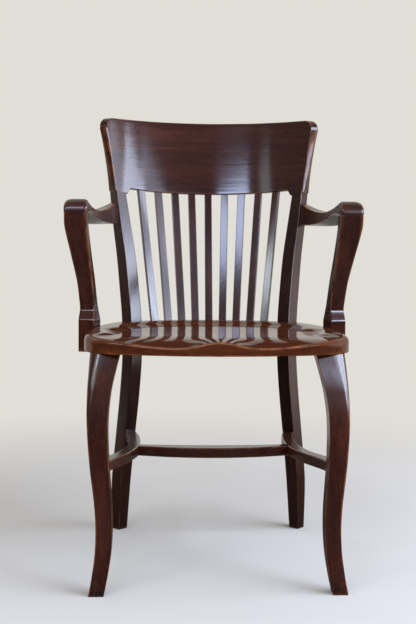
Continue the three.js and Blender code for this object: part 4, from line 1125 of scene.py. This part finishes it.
# %% [markdown]
# A polished chair shows its room. Behind it stands a pale wall, which the seat and the undersides of the
# arms mirror. In front of it the room is dim, apart from soft windows on the right, on the left and high up
# beside the camera. Each window is given by the angles that it fills, because a reflection depends on
# nothing else, and a window with panes of several strengths is several lamps side by side. Seen from the
# chair's side, the level seat would mirror the windows on the right as one white sheet, so they light it
# through matt copies that leave no mirror image. The world is the wall behind, the dim room in front, a
# lit wall to the right and the even light of the rest of the room.

# %% World
world = bpy.data.worlds.new("studio")
bpy.context.scene.world = world
world.use_nodes = True
sky = world.node_tree
sky.nodes.clear()
dim_low, dim_high = (0.03, 0.027, 0.023), (0.22, 0.205, 0.22)
right_wall, even_light = (1.7, 1.5, 1.4), (0.52, 0.485, 0.44)
behind_span, high_span, right_span = (0.02, 0.35), (0.15, 0.6), (0.75, 1.0)
everywhere = add_node(sky, "ShaderNodeTexCoord").outputs["Generated"]
direction = add_node(sky, "ShaderNodeSeparateXYZ", {0: everywhere}).outputs
behind_share = mapped(sky, direction[1], *behind_span, **smooth)
high_share = mapped(sky, direction[2], *high_span, **smooth)
right_share = mapped(sky, direction[0], *right_span, **smooth)
dim_room = blended(sky, right_share, blended(sky, high_share, dim_low, dim_high), right_wall)
mirrored_room = blended(sky, behind_share, dim_room, background)
ray = add_node(sky, "ShaderNodeLightPath").outputs
not_camera = blended(sky, ray["Is Glossy Ray"], even_light, mirrored_room)
straight = sum_of(sky, "MAXIMUM", ray["Is Camera Ray"], ray["Is Transmission Ray"])
light = add_node(sky, "ShaderNodeBackground",
                 {"Color": blended(sky, straight, not_camera, background), "Strength": 1.0})
add_node(sky, "ShaderNodeOutputWorld", {"Surface": light})
print("world nodes:", len(sky.nodes))

# %% Windows
lamp_target, lamp_distance = Vector((0, 0, 0.62)), 4.0
cool, blue, pale = (0.68, 0.77, 1.0), (0.58, 0.69, 1.0), (0.82, 0.92, 1.0)
panes = {  # turned right from, to; above level from, to; radiance; colour; kept out of the level pieces
    "right": (61, 77, 17, 36.5, 12.5, cool, True),
    "right_near": (46, 61, 17, 31, 18.0, cool, True),
    "right_near_top": (43, 61, 31, 40, 4.0, cool, True),
    "right_side": (77, 98, 15.5, 26.5, 13.0, cool, True),
    "right_side_top": (77, 93, 26, 33, 3.6, cool, True),
    "right_edge": (34, 46, 28, 36, 5.0, cool, False),
    "right_low": (72, 96, 6, 17, 6.0, cool, True),
    "right_foot": (13, 46, 24.5, 29.8, 7.0, cool, False),
    "right_far": (6, 34, 30, 41, 0.9, cool, False),
    "left_foot": (-60, -30, 24, 28.5, 5.0, pale, False),
    "high": (-29, -8.5, 36.8, 43.5, 17.0, blue, False),
    "left": (-49.5, -40, 29.6, 33.5, 15.0, pale, False),
    "left_high": (-51, -44, 35, 42, 2.2, pale, False),
}


def pane_size(low, high):
    """How wide a pane has to be to fill the angles between the two."""
    return 2 * lamp_distance * math.tan(math.radians(high - low) / 2)


def window(name, left, right, low, high, radiance, colour):
    """A soft lamp that fills a range of angles."""
    turn, rise = math.radians((left + right) / 2), math.radians((low + high) / 2)
    data = bpy.data.lights.new(name, "AREA")
    data.shape = "RECTANGLE"
    data.size, data.size_y = pane_size(left, right), pane_size(low, high)
    data.energy = radiance * math.pi * data.size * data.size_y
    data.color = colour
    lamp = in_scene(name, data)
    towards = Vector((math.sin(turn) * math.cos(rise), -math.cos(turn) * math.cos(rise), math.sin(rise)))
    lamp.location = lamp_target + towards * lamp_distance
    lamp.rotation_euler = (-towards).to_track_quat("-Z", "Y").to_euler()
    lamp.visible_camera = False
    return lamp


def receivers(name, state):
    """A group of the level pieces, which a lamp leaves out or lights alone."""
    group = bpy.data.collections.new(name)
    for piece in (seat, cross):
        group.objects.link(piece)
    for entry in group.collection_objects:
        entry.light_linking.link_state = state
    return group


level_left_out, level_alone = receivers("level_left_out", "EXCLUDE"), receivers("level_alone", "INCLUDE")
for pane, (*sizes, kept_out) in panes.items():
    lamp = window(f"window_{pane}", *sizes)
    if kept_out:
        matt = lamp.copy()
        matt.name = f"{lamp.name}_matt"
        bpy.context.scene.collection.objects.link(matt)
        matt.visible_glossy = False
        lamp.light_linking.receiver_collection = level_left_out
        matt.light_linking.receiver_collection = level_alone
print("windows:", len(panes), "and", sum(values[-1] for values in panes.values()), "matt copies")

# %% Settle and finish
bpy.context.scene.view_settings.view_transform = "Standard"
